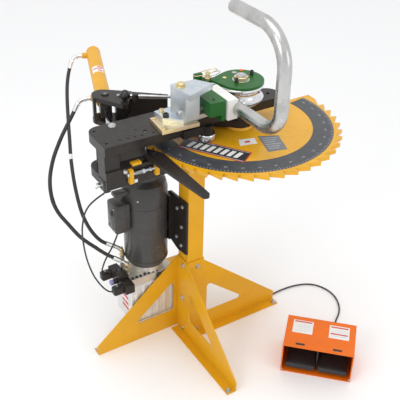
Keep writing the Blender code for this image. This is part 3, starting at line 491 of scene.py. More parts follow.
def lathe(name, profile, base, way, finish, sides=24, smooth=35):
    """A solid turned about way: a circle is extruded and resized up a profile of (radius, height)."""
    deselect()
    bpy.ops.mesh.primitive_circle_add(vertices=sides, radius=profile[0][0], fill_type="NGON")
    piece = begin(name)
    bpy.ops.mesh.select_all(action="SELECT")
    bpy.ops.transform.translate(value=(0, 0, profile[0][1]))
    for (before, low), (radius, high) in zip(profile, profile[1:]):
        bpy.ops.mesh.extrude_region_move(TRANSFORM_OT_translate={"value": (0, 0, high - low)})
        share = radius / before
        bpy.ops.transform.resize(value=(share, share, 1), center_override=(0, 0, high))
    set_down(piece, facing(base, way))
    return close(piece, finish, smooth)


def slab(name, outline, low, high, finish, edge=0.0, frame_of=None, smooth=35):
    """An outline extruded up and, with edge, bevelled all round."""
    deselect()
    bpy.ops.mesh.primitive_circle_add(vertices=len(outline), radius=0.1, fill_type="NGON")
    piece = begin(name)
    mesh = bmesh.from_edit_mesh(piece.data)
    mesh.verts.ensure_lookup_table()
    loop = [corner.vert for corner in mesh.faces[:][0].loops]
    for vert, (x, y) in zip(loop, outline):
        vert.co = (x, y, low)
    bmesh.update_edit_mesh(piece.data)
    bpy.ops.mesh.select_all(action="SELECT")
    bpy.ops.mesh.extrude_region_move(TRANSFORM_OT_translate={"value": (0, 0, high - low)})
    bpy.ops.mesh.select_all(action="SELECT")
    bpy.ops.mesh.normals_make_consistent(inside=False)
    if edge:
        bpy.ops.mesh.bevel(offset=edge, segments=2, affect="EDGES", clamp_overlap=True)
    if frame_of is not None:
        set_down(piece, frame_of)
    return close(piece, finish, smooth)


def bar(name, low, high, finish, edge=0.001, frame_of=None, top=None):
    """A block with bevelled edges; top sinks or raises an inset panel on its upper face."""
    low, high = Vector(low), Vector(high)
    deselect()
    bpy.ops.mesh.primitive_cube_add(size=1, location=(low + high) / 2, scale=high - low)
    bpy.ops.object.transform_apply(location=True, rotation=True, scale=True)
    piece = begin(name)
    bpy.ops.mesh.select_all(action="SELECT")
    bpy.ops.mesh.bevel(offset=edge, segments=2, affect="EDGES", clamp_overlap=True)
    if top:
        inset, rise = top
        choose(piece, lambda face: face.normal.z > 0.99)
        bpy.ops.mesh.inset(thickness=inset)
        bpy.ops.mesh.extrude_region_move(TRANSFORM_OT_translate={"value": (0, 0, rise)})
    if frame_of is not None:
        set_down(piece, frame_of)
    return close(piece, finish)


def copies(piece, places):
    """Copies of a piece's mesh, one for each matrix."""
    made = []
    for place in places:
        twin = piece.copy()
        twin.data = piece.data.copy()
        twin.data.transform(place)
        bpy.context.scene.collection.objects.link(twin)
        made.append(twin)
    return made


def together(name, pieces):
    """Joins pieces into one mesh under a new name."""
    deselect()
    for piece in pieces:
        piece.select_set(True)
    bpy.context.view_layer.objects.active = pieces[0]
    if len(pieces) > 1:
        bpy.ops.object.join()
    whole = bpy.context.view_layer.objects.active
    whole.name = name
    whole.data.name = name
    return whole


def fit(piece, body, slot_name, *replaced):
    """Hangs a finished piece on its body and hides the nodes that it stands for; slot_name is not used."""
    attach(piece, body)
    if replaced:
        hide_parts(*replaced)
    return piece


def flat(name, outline, base, thickness, finish, frame_of=None):
    """A printed shape on a level face."""
    return slab(name, outline, base, base + thickness, finish, 0.0, frame_of, 0)


def ring_places(centre, radius, height, count, start):
    """Points round a vertical line, each with its way out."""
    ways = [outward(start + 360 * k / count) for k in range(count)]
    return [(centre + way * radius + UP * height, way) for way in ways]


def spread(name, master, places, body, slot_name):
    """One piece out of a master shape repeated at each (point, way); the master goes."""
    made = copies(master, [facing(point, way) for point, way in places])
    bpy.data.objects.remove(master, do_unlink=True)
    return fit(together(name, made), body, slot_name)


def hex_bolt(size, finish, washer=True):
    """Hexagon head on a washer, base on the origin, facing +Z."""
    head = lathe("head", [(size * 0.92, 0.0), (size, size * 0.10), (size, size * 0.55),
                          (size * 0.86, size * 0.68)],
                 (0, 0, size * 0.14 if washer else 0), UP, finish, 6, 20)
    parts = [head]
    if washer:
        parts.append(lathe("washer", [(size * 1.25, 0.0), (size * 1.25, size * 0.15)], (0, 0, 0), UP,
                           finish, 20))
    return together("hex_bolt", parts)


def socket_screw(size, finish, height=None):
    """Socket head cap screw: knurled rim left plain, with a hexagon recess."""
    height = height or size
    return lathe("socket_screw", [(size, 0.0), (size, height * 0.88), (size * 0.88, height),
                                  (size * 0.52, height), (size * 0.52, height * 0.45)],
                 (0, 0, 0), UP, finish, 18, 30)


def nut_on_thread(size, finish, tail):
    nut = lathe("nut", [(size, 0.0), (size, size * 0.8)], (0, 0, size * 0.14), UP, finish, 6, 20)
    washer = lathe("washer", [(size * 1.25, 0.0), (size * 1.25, size * 0.15)], (0, 0, 0), UP, finish, 20)
    thread = lathe("thread", [(size * 0.5, 0.0), (size * 0.5, tail), (size * 0.4, tail + size * 0.1)],
                   (0, 0, 0), UP, finish, 14)
    return together("nut_on_thread", [nut, washer, thread])


def finish_nodes(finish, *names):
    for name in names:
        node = NODES[name]
        node.data.materials.clear()
        node.data.materials.append(finish)
        weld = node.modifiers.new("Sew", "WELD")
        weld.merge_threshold = 0.00001
        node.data.polygons.foreach_set("use_smooth", [True] * len(node.data.polygons))
        split = node.modifiers.new("Creases", "EDGE_SPLIT")
        split.split_angle = math.radians(32)


# ---------------------------------------------------------------- hoses and cords
FAR_HOSE = [(-0.0915, 0.8202, 1.040), (-0.1103, 0.8271, 1.040), (-0.1380, 0.823, 1.030),
            (-0.167, 0.800, 0.995),
            (-0.196, 0.762, 0.952), (-0.223, 0.711, 0.905), (-0.258, 0.631, 0.839),
            (-0.289, 0.555, 0.781),
            (-0.321, 0.476, 0.724), (-0.351, 0.378, 0.655), (-0.368, 0.286, 0.589),
            (-0.360, 0.230, 0.535),
            (-0.334, 0.193, 0.490), (-0.300, 0.174, 0.466), (-0.265, 0.164, 0.443),
            (-0.2490, 0.160, 0.4240),
            (-0.2490, 0.160, 0.4120)]
NEAR_HOSE = [(-0.2440, 0.4021, 1.040), (-0.2630, 0.4090, 1.040), (-0.292, 0.412, 1.029),
             (-0.329, 0.397, 0.990),
             (-0.369, 0.379, 0.949), (-0.408, 0.358, 0.909), (-0.457, 0.324, 0.851),
             (-0.491, 0.289, 0.786),
             (-0.503, 0.253, 0.722), (-0.492, 0.230, 0.665), (-0.464, 0.205, 0.612),
             (-0.426, 0.173, 0.550),
             (-0.374, 0.147, 0.494), (-0.331, 0.131, 0.451), (-0.272, 0.113, 0.404),
             (-0.2500, 0.110, 0.3800),
             (-0.2500, 0.110, 0.3660)]
PEDAL_CORD = [(0.4805, -0.4279, 0.0300), (0.4945, -0.4140, 0.0285), (0.528, -0.384, 0.013),
              (0.565, -0.352, 0.0045),
              (0.605, -0.319, 0.0045), (0.648, -0.288, 0.0045), (0.683, -0.247, 0.0045),
              (0.707, -0.190, 0.0045),
              (0.708, -0.131, 0.0045), (0.685, -0.077, 0.0045), (0.645, -0.042, 0.0045),
              (0.585, -0.022, 0.0045),
              (0.522, -0.016, 0.0045), (0.446, -0.018, 0.0045), (0.360, -0.012, 0.0045),
              (0.270, 0.006, 0.0045),
              (0.180, 0.016, 0.0050), (0.120, 0.010, 0.0110), (0.082, 0.004, 0.0200),
              (0.060, 0.000, 0.0450),
              (0.055, 0.000, 0.0900), (0.053, 0.000, 0.200), (0.0540, 0.000, 0.400),
              (0.0550, 0.000, 0.600),
              (0.0550, 0.000, 0.800), (0.0550, 0.000, 0.8837)]


def smooth_route(points, step):
    """Points a step apart on a Catmull-Rom curve through the given points."""
    knots = [Vector(p) for p in points]
    knots = [knots[0] * 2 - knots[1]] + knots + [knots[-1] * 2 - knots[-2]]
    fine = []
    for a, b, c, d in zip(knots, knots[1:], knots[2:], knots[3:]):
        for i in range(24):
            t = i / 24
            fine.append(0.5 * (2 * b + (c - a) * t + (2 * a - 5 * b + 4 * c - d) * t ** 2
                               + (3 * b - a - 3 * c + d) * t ** 3))
    fine.append(knots[-2])
    lengths = [0.0]
    for a, b in zip(fine, fine[1:]):
        lengths.append(lengths[-1] + (b - a).length)
    count = max(2, round(lengths[-1] / step))
    route, index = [], 0
    for i in range(count + 1):
        reach = lengths[-1] * i / count
        while index < len(fine) - 2 and lengths[index + 1] < reach:
            index += 1
        share = (reach - lengths[index]) / max(lengths[index + 1] - lengths[index], 1e-9)
        route.append(fine[index].lerp(fine[index + 1], share))
    return route


def route_length(route):
    return sum((b - a).length for a, b in zip(route, route[1:]))


def flexible(name, route, radius, finish, sides=6):
    """A round cord as a curve of one open spline."""
    curve = bpy.data.curves.new(name, "CURVE")
    curve.dimensions = "3D"
    curve.bevel_depth = radius
    curve.bevel_resolution = sides
    curve.use_fill_caps = True
    spline = curve.splines.new("POLY")
    spline.points.add(len(route) - 1)
    for knot, point in zip(spline.points, route):
        knot.co = (*point, 1.0)
    cord = bpy.data.objects.new(name, curve)
    bpy.context.scene.collection.objects.link(cord)
    cord.data.materials.append(finish)
    return cord


def straight_ends(route, points):
    for end, near, toward in ((0, 1, Vector(points[1]) - Vector(points[0])),
                              (-1, -2, Vector(points[-2]) - Vector(points[-1]))):
        route[near] = route[end] + toward.normalized() * (route[near] - route[end]).length
    return route


def tube_mesh(name, route, radius, finish, sides=14):
    """A hose as a closed mesh tube."""
    cord = flexible(name, route, radius, finish, sides // 2 - 2)
    deselect()
    cord.select_set(True)
    bpy.context.view_layer.objects.active = cord
    bpy.ops.object.convert(target="MESH")
    hose = bpy.context.object
    bpy.ops.object.mode_set(mode="EDIT")
    bpy.ops.mesh.select_all(action="SELECT")
    bpy.ops.mesh.remove_doubles(threshold=0.00002)
    return close(hose, finish, 50)


def make_hose(name, points):
    """One hose in two runs, a lower and an upper, each a mesh tube along half of its route."""
    route = straight_ends(smooth_route(points, 0.012), points)
    middle = len(route) // 2
    lower = tube_mesh(name + "_lower_run", route[middle:][::-1], HOSE_RADIUS, RUBBER)
    upper = tube_mesh(name + "_upper_run", route[:middle + 1], HOSE_RADIUS, RUBBER)
    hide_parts(name + "_lower")
    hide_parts(name + "_upper")
    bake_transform(lower)
    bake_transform(upper)
    route_length(route[middle:])
    route_length(route[:middle + 1])
    return route


def hexagon_at(name, route, index, radius, length, finish, body):
    """Hexagon nut of a hose end, turned along the hose at that point."""
    way = (route[index + 1] - route[index - 1]).normalized()
    nut = lathe(name, [(radius * 0.94, -length / 2), (radius, -length / 2 + 0.0008),
                       (radius, length / 2 - 0.0008),
                       (radius * 0.94, length / 2)], route[index], way, finish, 6, 20)
    fit(nut, body, "bare_steel")


def sleeved_end(name, route, elbow, finish, body):
    """Elbow, crimped sleeve and their hexagons over the start of a route."""
    bend = tube_mesh(name + "_elbow", route[:elbow + 1], HOSE_RADIUS + 0.0017, finish, 20)
    fit(bend, body, "bare_steel")
    for part, (first, last,
               extra) in enumerate(((elbow, SLEEVED - 4, 0.0009), (SLEEVED - 4, SLEEVED - 1, 0.0022))):
        sleeve = tube_mesh(name + "_sleeve_%d" % part, route[first:last + 1], HOSE_RADIUS + extra,
                           HOSE_METAL, 20)
        fit(sleeve, body, "bare_steel")
    hexagon_at(name + "_nut", route, elbow, 0.0128, 0.010, finish, body)
    hexagon_at(name + "_crimp", route, SLEEVED - 4, 0.0118, 0.007, HOSE_METAL, body)


def make_hoses():
    for name, points in (("hose_far", FAR_HOSE), ("hose_near", NEAR_HOSE)):
        route = make_hose(name, points)
        sleeved_end(name + "_upper", route, 2, HOSE_METAL, "barrel")
        sleeved_end(name + "_lower", route[::-1], 2, GOLD, "root")
        middle = len(route) // 2
        band = tube_mesh(name + "_tape", route[middle - 1:middle + 2], HOSE_RADIUS + 0.0005,
                         WHITE_PRINT if name == "hose_far" else RUBBER, 20)
        fit(band, "rod", "black_rubber")


def make_pedal_cord():
    route = straight_ends(smooth_route(PEDAL_CORD, 0.0105), PEDAL_CORD)
    cord = flexible("pedal_cord", route, CORD_RADIUS, PLASTIC)
    fit(cord, "root", "black_rubber", "foot_cord_floor", "foot_cord_riser")
    route_length(route)


SWITCH_CABLE = [(-0.4010, -0.0450, 0.8940), (-0.4050, -0.0430, 0.8820), (-0.4280, -0.0300, 0.8600),
                (-0.4520, -0.0120, 0.8280), (-0.4640, 0.0080, 0.7880), (-0.4661, 0.0300, 0.7400),
                (-0.4609, 0.0650, 0.6574), (-0.4480, 0.0900, 0.5600), (-0.4310, 0.1050, 0.4700),
                (-0.4120, 0.0980, 0.3950), (-0.3880, 0.0780, 0.3420), (-0.3680, 0.0570, 0.3210),
                (-0.3530, 0.0500, 0.3180)]
BOX_CABLE = [(-0.2900, 0.1100, 0.5620), (-0.2915, 0.1100, 0.5500), (-0.3090, 0.1170, 0.5000),
             (-0.3290, 0.1290, 0.4500), (-0.3410, 0.1420, 0.4080), (-0.3450, 0.1560, 0.3700),
             (-0.3450, 0.1640, 0.3500), (-0.3450, 0.1650, 0.3360)]


def make_thin_cables():
    for name, points in (("switch_cable", SWITCH_CABLE), ("box_cable", BOX_CABLE)):
        route = smooth_route(points, 0.008)
        cable = flexible(name, route, CABLE_RADIUS, PLASTIC, 5)
        fit(cable, "root", "black_rubber")
        route_length(route)


# ---------------------------------------------------------------- stand
def quarter_turns(point, way):
    return [(Matrix.Rotation(math.radians(turn), 3, "Z") @ Vector(point),
             Matrix.Rotation(math.radians(turn), 3, "Z") @ Vector(way)) for turn in (0, -90, 180, 90)]


def make_stand_fasteners():
    web = []
    for height in (0.373, 0.196, 0.016):
        web += quarter_turns((0.010, -LEG_FACE, height), (0, -1, 0))
    spread("leg_bolts", hex_bolt(0.0092, BOLT), [(p, w) for p, w in web if p.z > 0.02], "root",
           "bare_steel")
    spread("leg_lower_bolts", hex_bolt(0.0072, BOLT), [(p, w) for p, w in web if p.z < 0.02], "root",
           "bare_steel")
    spread("floor_anchors", nut_on_thread(0.0095, BOLT, 0.016),
           quarter_turns((0.425, -0.068, 0.0052), UP),
           "root", "bare_steel")
    seams = []
    for turn in (0, -90, 180, 90):
        seam = bar("seam", (0.050, -LEG_FACE - 0.0042, 0.0048), (0.436, -LEG_FACE + 0.001, 0.0090),
                   YELLOW, 0.002)
        seams += copies(seam, [Matrix.Rotation(math.radians(turn), 4, "Z")])
        bpy.data.objects.remove(seam, do_unlink=True)
    fit(together("leg_fold_fillets", seams), "root", "yellow_enamel")


# ---------------------------------------------------------------- head frame
def make_frame_fasteners():
    sunk = [(-0.336, -0.052), (-0.306, -0.055), (-0.278, -0.055), (-0.252, -0.060), (-0.252, -0.010),
            (-0.205, -0.062)]
    spread("plate_screws", socket_screw(0.0058, DARK_BOLT, 0.010),
           [(Vector((x, y, PLATE_TOP - 0.0105)), UP) for x, y in sunk], "root", "black_enamel")
    corner = [(-0.390, -0.052), (-0.390, 0.052)]
    spread("corner_screws", socket_screw(0.0058, DARK_BOLT, 0.010),
           [(Vector((x, y, PLATE_TOP - 0.0115)), UP) for x, y in corner], "root", "black_enamel")
    spread("plate_rear_screws", socket_screw(0.0070, DARK_BOLT, 0.004),
           [(Vector((x, 0.085, 1.0715)), Vector((0, 1, 0))) for x in (-0.330, -0.180)], "root",
           "black_enamel")
    pivot = socket_screw(0.0115, DARK_BOLT, 0.008)
    spread("hold_pawl_screw", pivot, [(Vector((-0.2072, -0.0620, 1.0026)), UP)], "hold_pawl",
           "black_enamel")


def make_wheel_roller():
    """Chromed roller under the plate, that keeps the wheel flat, on a black hub."""
    rim = lathe("roller_rim", [(0.0260, 0.0), (0.0345, 0.0030), (0.0350, 0.0050), (0.0350, 0.0230),
                               (0.0330, 0.0270), (0.0180, 0.0275)], ROLLER, UP, CHROME, 48)
    fit(rim, "root", "bare_steel", "wheel_support_roller")
    hub = lathe("roller_hub", [(0.0240, 0.0), (0.0250, 0.0010), (0.0250, 0.0335), (0.0240, 0.0344)],
                (ROLLER.x, ROLLER.y, 1.0184), UP, BLACK, 40)
    fit(hub, "root", "black_enamel")


def make_stop_rod():
    """Compression spring and nuts on the stop rod in front of the apron."""
    low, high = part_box("stop_rod")
    height, depth = (low[2] + high[2]) / 2, (low[1] + high[1]) / 2
    turns = 9
    points = []
    for i in range(turns * 12 + 1):
        share = i / (turns * 12)
        angle = share * turns * 2 * math.pi
        points.append(Vector((-0.3040 + share * 0.0300, depth + 0.0068 * math.cos(angle),
                              height + 0.0068 * math.sin(angle))))
    spring = tube_mesh("stop_spring", points, 0.0009, STEEL, 8)
    fit(spring, "root", "bare_steel")
    nuts = [(Vector((x, depth, height)), Vector((1, 0, 0))) for x in (-0.2420, -0.2000)]
    nut = lathe("nut", [(0.0088, 0.0), (0.0088, 0.0070)], (0, 0, 0), UP, BOLT, 6, 20)
    spread("stop_rod_nuts", nut, nuts, "root", "bare_steel")
    plate = bar("stop_slider", (-0.3060, -0.0850, 0.9873), (-0.2680, -0.0620, 0.9980), YELLOW, 0.0012)
    fit(plate, "root", "yellow_enamel")
    boot = lathe("stop_button", [(0.0085, 0.0), (0.0092, 0.003), (0.0092, 0.008), (0.006, 0.011)],
                 (-0.340, depth + 0.001, 0.9765), (0, -0.25, 0.9), BOLT, 24)
    fit(boot, "root", "bright_zinc")


def make_switch_details():
    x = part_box("switch_box")[0][0]
    lid = bar("switch_box_lid", (x - 0.0018, -0.0675, 0.8975), (x + 0.0002, -0.0225, 0.9455), PLASTIC,
              0.0006)
    fit(lid, "root", "black_enamel")
    collar = lathe("toggle_collar", [(0.0065, 0.0), (0.0065, 0.0018), (0.0045, 0.0036)],
                   (x - 0.0019, -0.048, 0.925), (-1, 0, 0), STEEL, 20)
    fit(collar, "root", "bare_steel")
    spare = lathe("speed_toggle", [(0.0045, 0.0), (0.0045, 0.003), (0.0028, 0.003), (0.0030, 0.012),
                                   (0.0042, 0.020), (0.0030, 0.0225)],
                  (x - 0.0019, -0.034, 0.912), (-1, 0.1, -0.35), STEEL, 16)
    fit(spare, "root", "bare_steel")
    tag = bar("frame_tag", (-0.300, PLATE_FRONT - 0.0007, 0.915), (-0.286, PLATE_FRONT + 0.0002, 0.929),
              WHITE_PRINT, 0.0002)
    fit(tag, "root", "black_enamel")


# ---------------------------------------------------------------- wheel and die
def sector(radius_in, radius_out, start, end, steps):
    ways = [outward(start + (end - start) * i / steps) for i in range(steps + 1)]
    outer = [(SPINDLE.x + radius_out * way.x, radius_out * way.y) for way in ways]
    inner = [(SPINDLE.x + radius_in * way.x, radius_in * way.y) for way in reversed(ways)]
    return outer + inner


def make_wheel_dress():
    top = WHEEL_TOP
    ring = slab("degree_ring", sector(0.297, 0.379, SCALE_START, 369, 98), top, top + 0.0006, SCALE,
                smooth=0)
    fit(ring, "die_wheel", "black_enamel")
    numbers = []
    for step in range(19):
        angle = math.radians(SCALE_START + 4 + step * 10.4)
        text = bpy.data.curves.new("number", "FONT")
        text.body = str(step * 10)
        text.size = 0.0125
        text.align_x = "CENTER"
        text.align_y = "CENTER"
        text.resolution_u = 3
        number = bpy.data.objects.new("number", text)
        bpy.context.scene.collection.objects.link(number)
        number.matrix_world = (Matrix.Translation((SPINDLE.x + NUMBER_CIRCLE * math.cos(angle),
                                                   NUMBER_CIRCLE * math.sin(angle), top + 0.0009))
                               @ Matrix.Rotation(angle + math.pi / 2, 4, "Z"))
        deselect()
        number.select_set(True)
        bpy.context.view_layer.objects.active = number
        bpy.ops.object.convert(target="MESH")
        numbers.append(close(bpy.context.object, SILVER_PRINT, 0))
    fit(together("degree_numbers", numbers), "die_wheel", "white_block")

    banner_frame = Matrix(((0.5634, 0.8262, 0, 0.0195), (-0.8262, 0.5634, 0, -0.1295), (0, 0, 1, 0),
                           (0, 0, 0, 1)))
    half, depth = 0.136, 0.041
    rim = [(-half, -depth), (half, -depth), (half, depth), (-half, depth)]
    fit(flat("wheel_banner", rim, top, LABEL, BLACK_PRINT, banner_frame), "die_wheel", "black_enamel")
    border, edge = [], 0.0035
    for x0, y0, x1, y1 in ((-half, -depth, half, -depth + edge), (-half, depth - edge, half, depth),
                           (-half, -depth, -half + edge, depth), (half - edge, -depth, half, depth)):
        border.append(flat("border", [(x0, y0), (x1, y0), (x1, y1), (x0, y1)], top + LABEL, 0.0004,
                           RED_PRINT, banner_frame))
    fit(together("banner_border", border), "die_wheel", "orange_enamel")
    lines = []
    for y in (-depth + 0.0060, depth - 0.0080):
        lines.append(flat("line", [(-half + 0.005, y), (half - 0.005, y), (half - 0.005, y + 0.0018),
                                   (-half + 0.005, y + 0.0018)], top + LABEL, 0.0003, WHITE_PRINT,
                          banner_frame))
    bars = 8
    for i in range(bars):
        x = -half + 0.026 + i * (2 * half - 0.052) / bars
        lines.append(flat("stripe", [(x, -0.022), (x + 0.017, -0.022), (x + 0.027, 0.022),
                                     (x + 0.010, 0.022)], top + LABEL, 0.0003, WHITE_PRINT, banner_frame))
    fit(together("banner_stripes", lines), "die_wheel", "white_block")
    plate = [(0.222, -0.124), (0.297, -0.158), (0.263, -0.263), (0.186, -0.245)][::-1]
    fit(flat("wheel_data_plate", plate, top, 0.0006, GREY_PRINT), "die_wheel", "bare_steel")
    rows = []
    for k in range(6):
        a = Vector(plate[3]).lerp(Vector(plate[0]), 0.14 + k * 0.135)
        b = Vector(plate[2]).lerp(Vector(plate[1]), 0.14 + k * 0.135)
        a, b = a.lerp(b, 0.1), a.lerp(b, 0.88 - 0.12 * (k % 3))
        step = (Vector(plate[0]) - Vector(plate[3])).normalized() * 0.0035
        rows.append(flat("row", [a[:], b[:], (b + step)[:], (a + step)[:]][::-1], top + 0.0006, 0.0002,
                         SILVER_PRINT))
    fit(together("data_plate_rows", rows), "die_wheel", "bare_steel")
    label = [(0.140, -0.110), (0.203, -0.129), (0.189, -0.170), (0.120, -0.153)][::-1]
    fit(flat("wheel_label", label, top, LABEL, WHITE_PRINT), "die_wheel", "white_block")
    middle = [Vector(label[0]).lerp(Vector(label[2]), t) for t in (0.35, 0.65)]
    patch = flat("wheel_label_patch",
                 [(middle[0].x, middle[0].y), (middle[0].x + 0.020, middle[0].y - 0.004),
                                       (middle[1].x, middle[1].y),
                  (middle[1].x - 0.020, middle[1].y + 0.004)],
                 top + LABEL, 0.0002, RED_PRINT)
    fit(patch, "die_wheel", "orange_enamel")


def make_die_dress():
    top = DIE_TOP
    spread("die_plate_screws", socket_screw(0.0075, DARK_BOLT, 0.018),
           [(Vector((x, y, top)), UP) for x, y in ((0.1830, -0.0180), (0.2760, 0.0130))], "die_wheel",
           "black_enamel")
    washer = lathe("spindle_washer", [(0.0335, 0.0), (0.0345, 0.0008), (0.0345, 0.0022), (0.0335, 0.003)],
                   (SPINDLE.x, 0, top - 0.0026), UP, ZINC, 48)
    fit(washer, "die_wheel", "bright_zinc")
    nut = lathe("spindle_nut_gold", [(0.0280, 0.0), (0.0300, 0.0012), (0.0300, 0.0110), (0.0270, 0.0130),
                                     (0.0205, 0.0130), (0.0205, 0.0090)],
                (SPINDLE.x, 0, top + 0.0005), UP, GOLD, 6, 20)
    fit(nut, "die_wheel", "yellow_zinc", "spindle_nut")
    cap = lathe("spindle_end", [(0.0188, 0.0), (0.0190, 0.0004), (0.0190, 0.0010), (0.0150, 0.0030),
                                (0.0060, 0.0030), (0.0040, 0.0010)], (SPINDLE.x, 0, 1.2015), UP, STEEL,
                40)
    fit(cap, "die_wheel", "bare_steel")
    seal = lathe("die_plug_orange", [(0.0085, 0.0), (0.0085, 0.0018), (0.0060, 0.0026)],
                 (0.2639, 0.0665, top), UP,
                 ORANGE, 28)
    fit(seal, "die_wheel", "orange_enamel")
    plug = lathe("die_plug_silver", [(0.0095, 0.0), (0.0095, 0.0022), (0.0070, 0.0030), (0.0040, 0.0018)],
                 (0.2260, 0.0614, top), UP, BOLT, 28)
    fit(plug, "die_wheel", "bare_steel")
    dot = lathe("die_mark", [(0.0075, 0.0), (0.0075, 0.0006)], (0.1677, 0.0423, top), UP, CREAM_PRINT, 24)
    fit(dot, "die_wheel", "yellow_enamel")
    collar = ring_places(SPINDLE, 0.0730, 1.0990, 4, 45)
    spread("collar_screws", socket_screw(0.0040, DARK_BOLT, 0.0040), collar, "die_wheel", "black_enamel")


def make_hook_lanyard():
    """Gold nut and stud of the hook, with the wire ring that hangs on them."""
    lug = bar("hook_lug", (0.0620, 0.0865, 1.1640), (0.0960, 0.1045, 1.1990), GREEN, 0.0020)
    fit(lug, "die_wheel", "green_enamel")
    nut = lathe("hook_nut", [(0.0150, 0.0), (0.0165, 0.001), (0.0165, 0.0100), (0.0140, 0.0115)],
                (HOOK_STUD.x, HOOK_STUD.y, 1.1728), UP, GOLD, 6, 20)
    fit(nut, "die_wheel", "yellow_zinc", "hook_bolt")
    stud = lathe("hook_stud", [(0.0085, 0.0), (0.0085, 0.096), (0.0070, 0.099), (0.0070, 0.1005)],
                 (HOOK_STUD.x, HOOK_STUD.y, 1.1055), UP, GOLD, 24)
    fit(stud, "die_wheel", "yellow_zinc")
    for name, dx, dy, lift, width, depth in (("hook_ring", -0.006, 0.004, 0.006, 0.050, 0.024),
                                             ("hook_split_ring", 0.022, -0.012, 0.002, 0.024, 0.020)):
        points = []
        for i in range(49):
            angle = 2 * math.pi * i / 48
            points.append(Vector((HOOK_STUD.x + dx + width * math.cos(angle),
                                  HOOK_STUD.y + dy + depth * math.sin(angle),
                                  1.1960 + lift + 0.007 * math.cos(angle + 0.8))))
        fit(tube_mesh(name, points, 0.0017, GOLD if dx < 0 else STEEL, 10), "die_wheel", "bare_steel")


def make_tube():
    """The bent tube as one smooth wall: a ring of its section, extruded, spun, extruded and spun."""
    low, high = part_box("sample_tube")
    rear, axis_low, axis_high = high[1], low[2] + TUBE_RADIUS, high[2] - TUBE_RADIUS
    first, second = 0.100, 0.135
    front = low[1] + TUBE_RADIUS + first
    deselect()
    bpy.ops.mesh.primitive_circle_add(vertices=48, radius=TUBE_RADIUS, fill_type="NOTHING",
                                      location=(TUBE_X, rear, axis_low), rotation=(math.pi / 2, 0, 0))
    bpy.ops.object.transform_apply(location=True, rotation=True, scale=True)
    tube = begin("bent_tube")
    bpy.ops.mesh.select_all(action="SELECT")
    bpy.ops.mesh.extrude_region_move(TRANSFORM_OT_translate={"value": (0, front - rear, 0)})
    bpy.ops.mesh.spin(steps=24, angle=math.pi / 2, center=(TUBE_X, front, axis_low + first),
                      axis=(1, 0, 0))
    bpy.ops.mesh.extrude_region_move(TRANSFORM_OT_translate={
        "value": (0, 0, axis_high - second - axis_low - first)})
    bpy.ops.mesh.spin(steps=30, angle=math.pi / 2,
                      center=(TUBE_X, front - first + second, axis_high - second), axis=(1, 0, 0))
    bpy.ops.mesh.extrude_region_move(TRANSFORM_OT_translate={
        "value": (0, -0.075 - (front - first + second), 0)})
    bpy.ops.mesh.select_all(action="SELECT")
    bpy.ops.mesh.remove_doubles(threshold=0.00002)
    bpy.ops.mesh.normals_make_consistent(inside=False)
    bpy.ops.object.mode_set(mode="OBJECT")
    wall = tube.modifiers.new("Wall", "SOLIDIFY")
    wall.thickness = TUBE_WALL
    wall.offset = -1
    bpy.ops.object.modifier_apply(modifier="Wall")
    bpy.ops.object.shade_smooth_by_angle(angle=math.radians(40))
    tube.data.materials.append(TUBE_STEEL)
    fit(tube, "tube", "tube_steel", "sample_tube")


# ---------------------------------------------------------------- vise
def make_vise_dress():
    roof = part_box("vise_bracket")[1][2]
    spread("vise_cap_screw", socket_screw(0.0115, DARK_BOLT, 0.015),
           [(Vector((-0.1370, -0.0330, 1.1230)), UP)],
           "root", "black_enamel")
    spread("vise_rear_screw", socket_screw(0.0095, GOLD, 0.010),
           [(Vector((-0.1290, 0.0140, 1.1230)), UP)],
           "root", "yellow_zinc")
    spread("vise_roof_bolt", hex_bolt(0.0155, GOLD), [(Vector((-0.0760, -0.0360, roof)), UP)], "root",
           "yellow_zinc")
    screw = lathe("vise_screw_end", [(0.0108, 0.0), (0.0110, 0.001), (0.0110, 0.118), (0.0100, 0.119)],
                  (0.0140, -0.062, 1.140), (-1, 0, 0), BOLT, 24)
    fit(screw, "vise_jaw", "bare_steel", "vise_screw")
    jaw_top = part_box("follow_block_carrier")[1][2]
    spread("jaw_screws", socket_screw(0.0050, DARK_BOLT, 0.003),
           [(Vector((0.0300, y, jaw_top - 0.0005)), UP) for y in (-0.095, -0.020)], "vise_jaw",
           "black_enamel")
    spread("adapter_screws", socket_screw(0.0075, GOLD, 0.004),
           [(Vector((x, y, 1.1050)), UP) for x, y in ((-0.176, -0.084), (-0.166, 0.006))], "root",
           "yellow_zinc")


# ---------------------------------------------------------------- arm and cylinder
def make_arm_dress():
    pin_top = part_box("trunnion_pin")[1][2]
    cap = lathe("trunnion_cap", [(0.0165, 0.0), (0.0165, 0.004), (0.0140, 0.0062), (0.0070, 0.0062),
                                 (0.0070, 0.0035)], (TRUNNION.x, TRUNNION.y, pin_top - 0.0045), UP,
                DARK_BOLT, 32)
    fit(cap, "drive_arm", "bare_steel")
    turn = Matrix.Rotation(math.radians(ARM_ANGLE), 3, "Z")
    spots = [(0.452, 0.040), (0.452, -0.018), (0.478, 0.012)]
    spread("yoke_screws", socket_screw(0.0070, BOLT, 0.006),
           [(SPINDLE + turn @ Vector((r, s, 0)) + UP * 1.1000, UP) for r, s in spots], "drive_arm",
           "bare_steel")
    spots = [(0.315, -0.006), (0.365, -0.004)]
    spread("arm_screws", socket_screw(0.0080, DARK_BOLT, 0.006),
           [(SPINDLE + turn @ Vector((r, s, 0)) + UP * 1.0980, UP) for r, s in spots], "drive_arm",
           "black_enamel")
    pin = lathe("rod_pin_screw", [(0.0105, 0.0), (0.0105, 0.0026), (0.0090, 0.0036), (0.0045, 0.0036),
                                  (0.0045, 0.0016)], (ROD_PIN.x, ROD_PIN.y, PLATE_TOP + 0.0046), UP, BOLT,
                32)
    fit(pin, "root", "bare_steel")


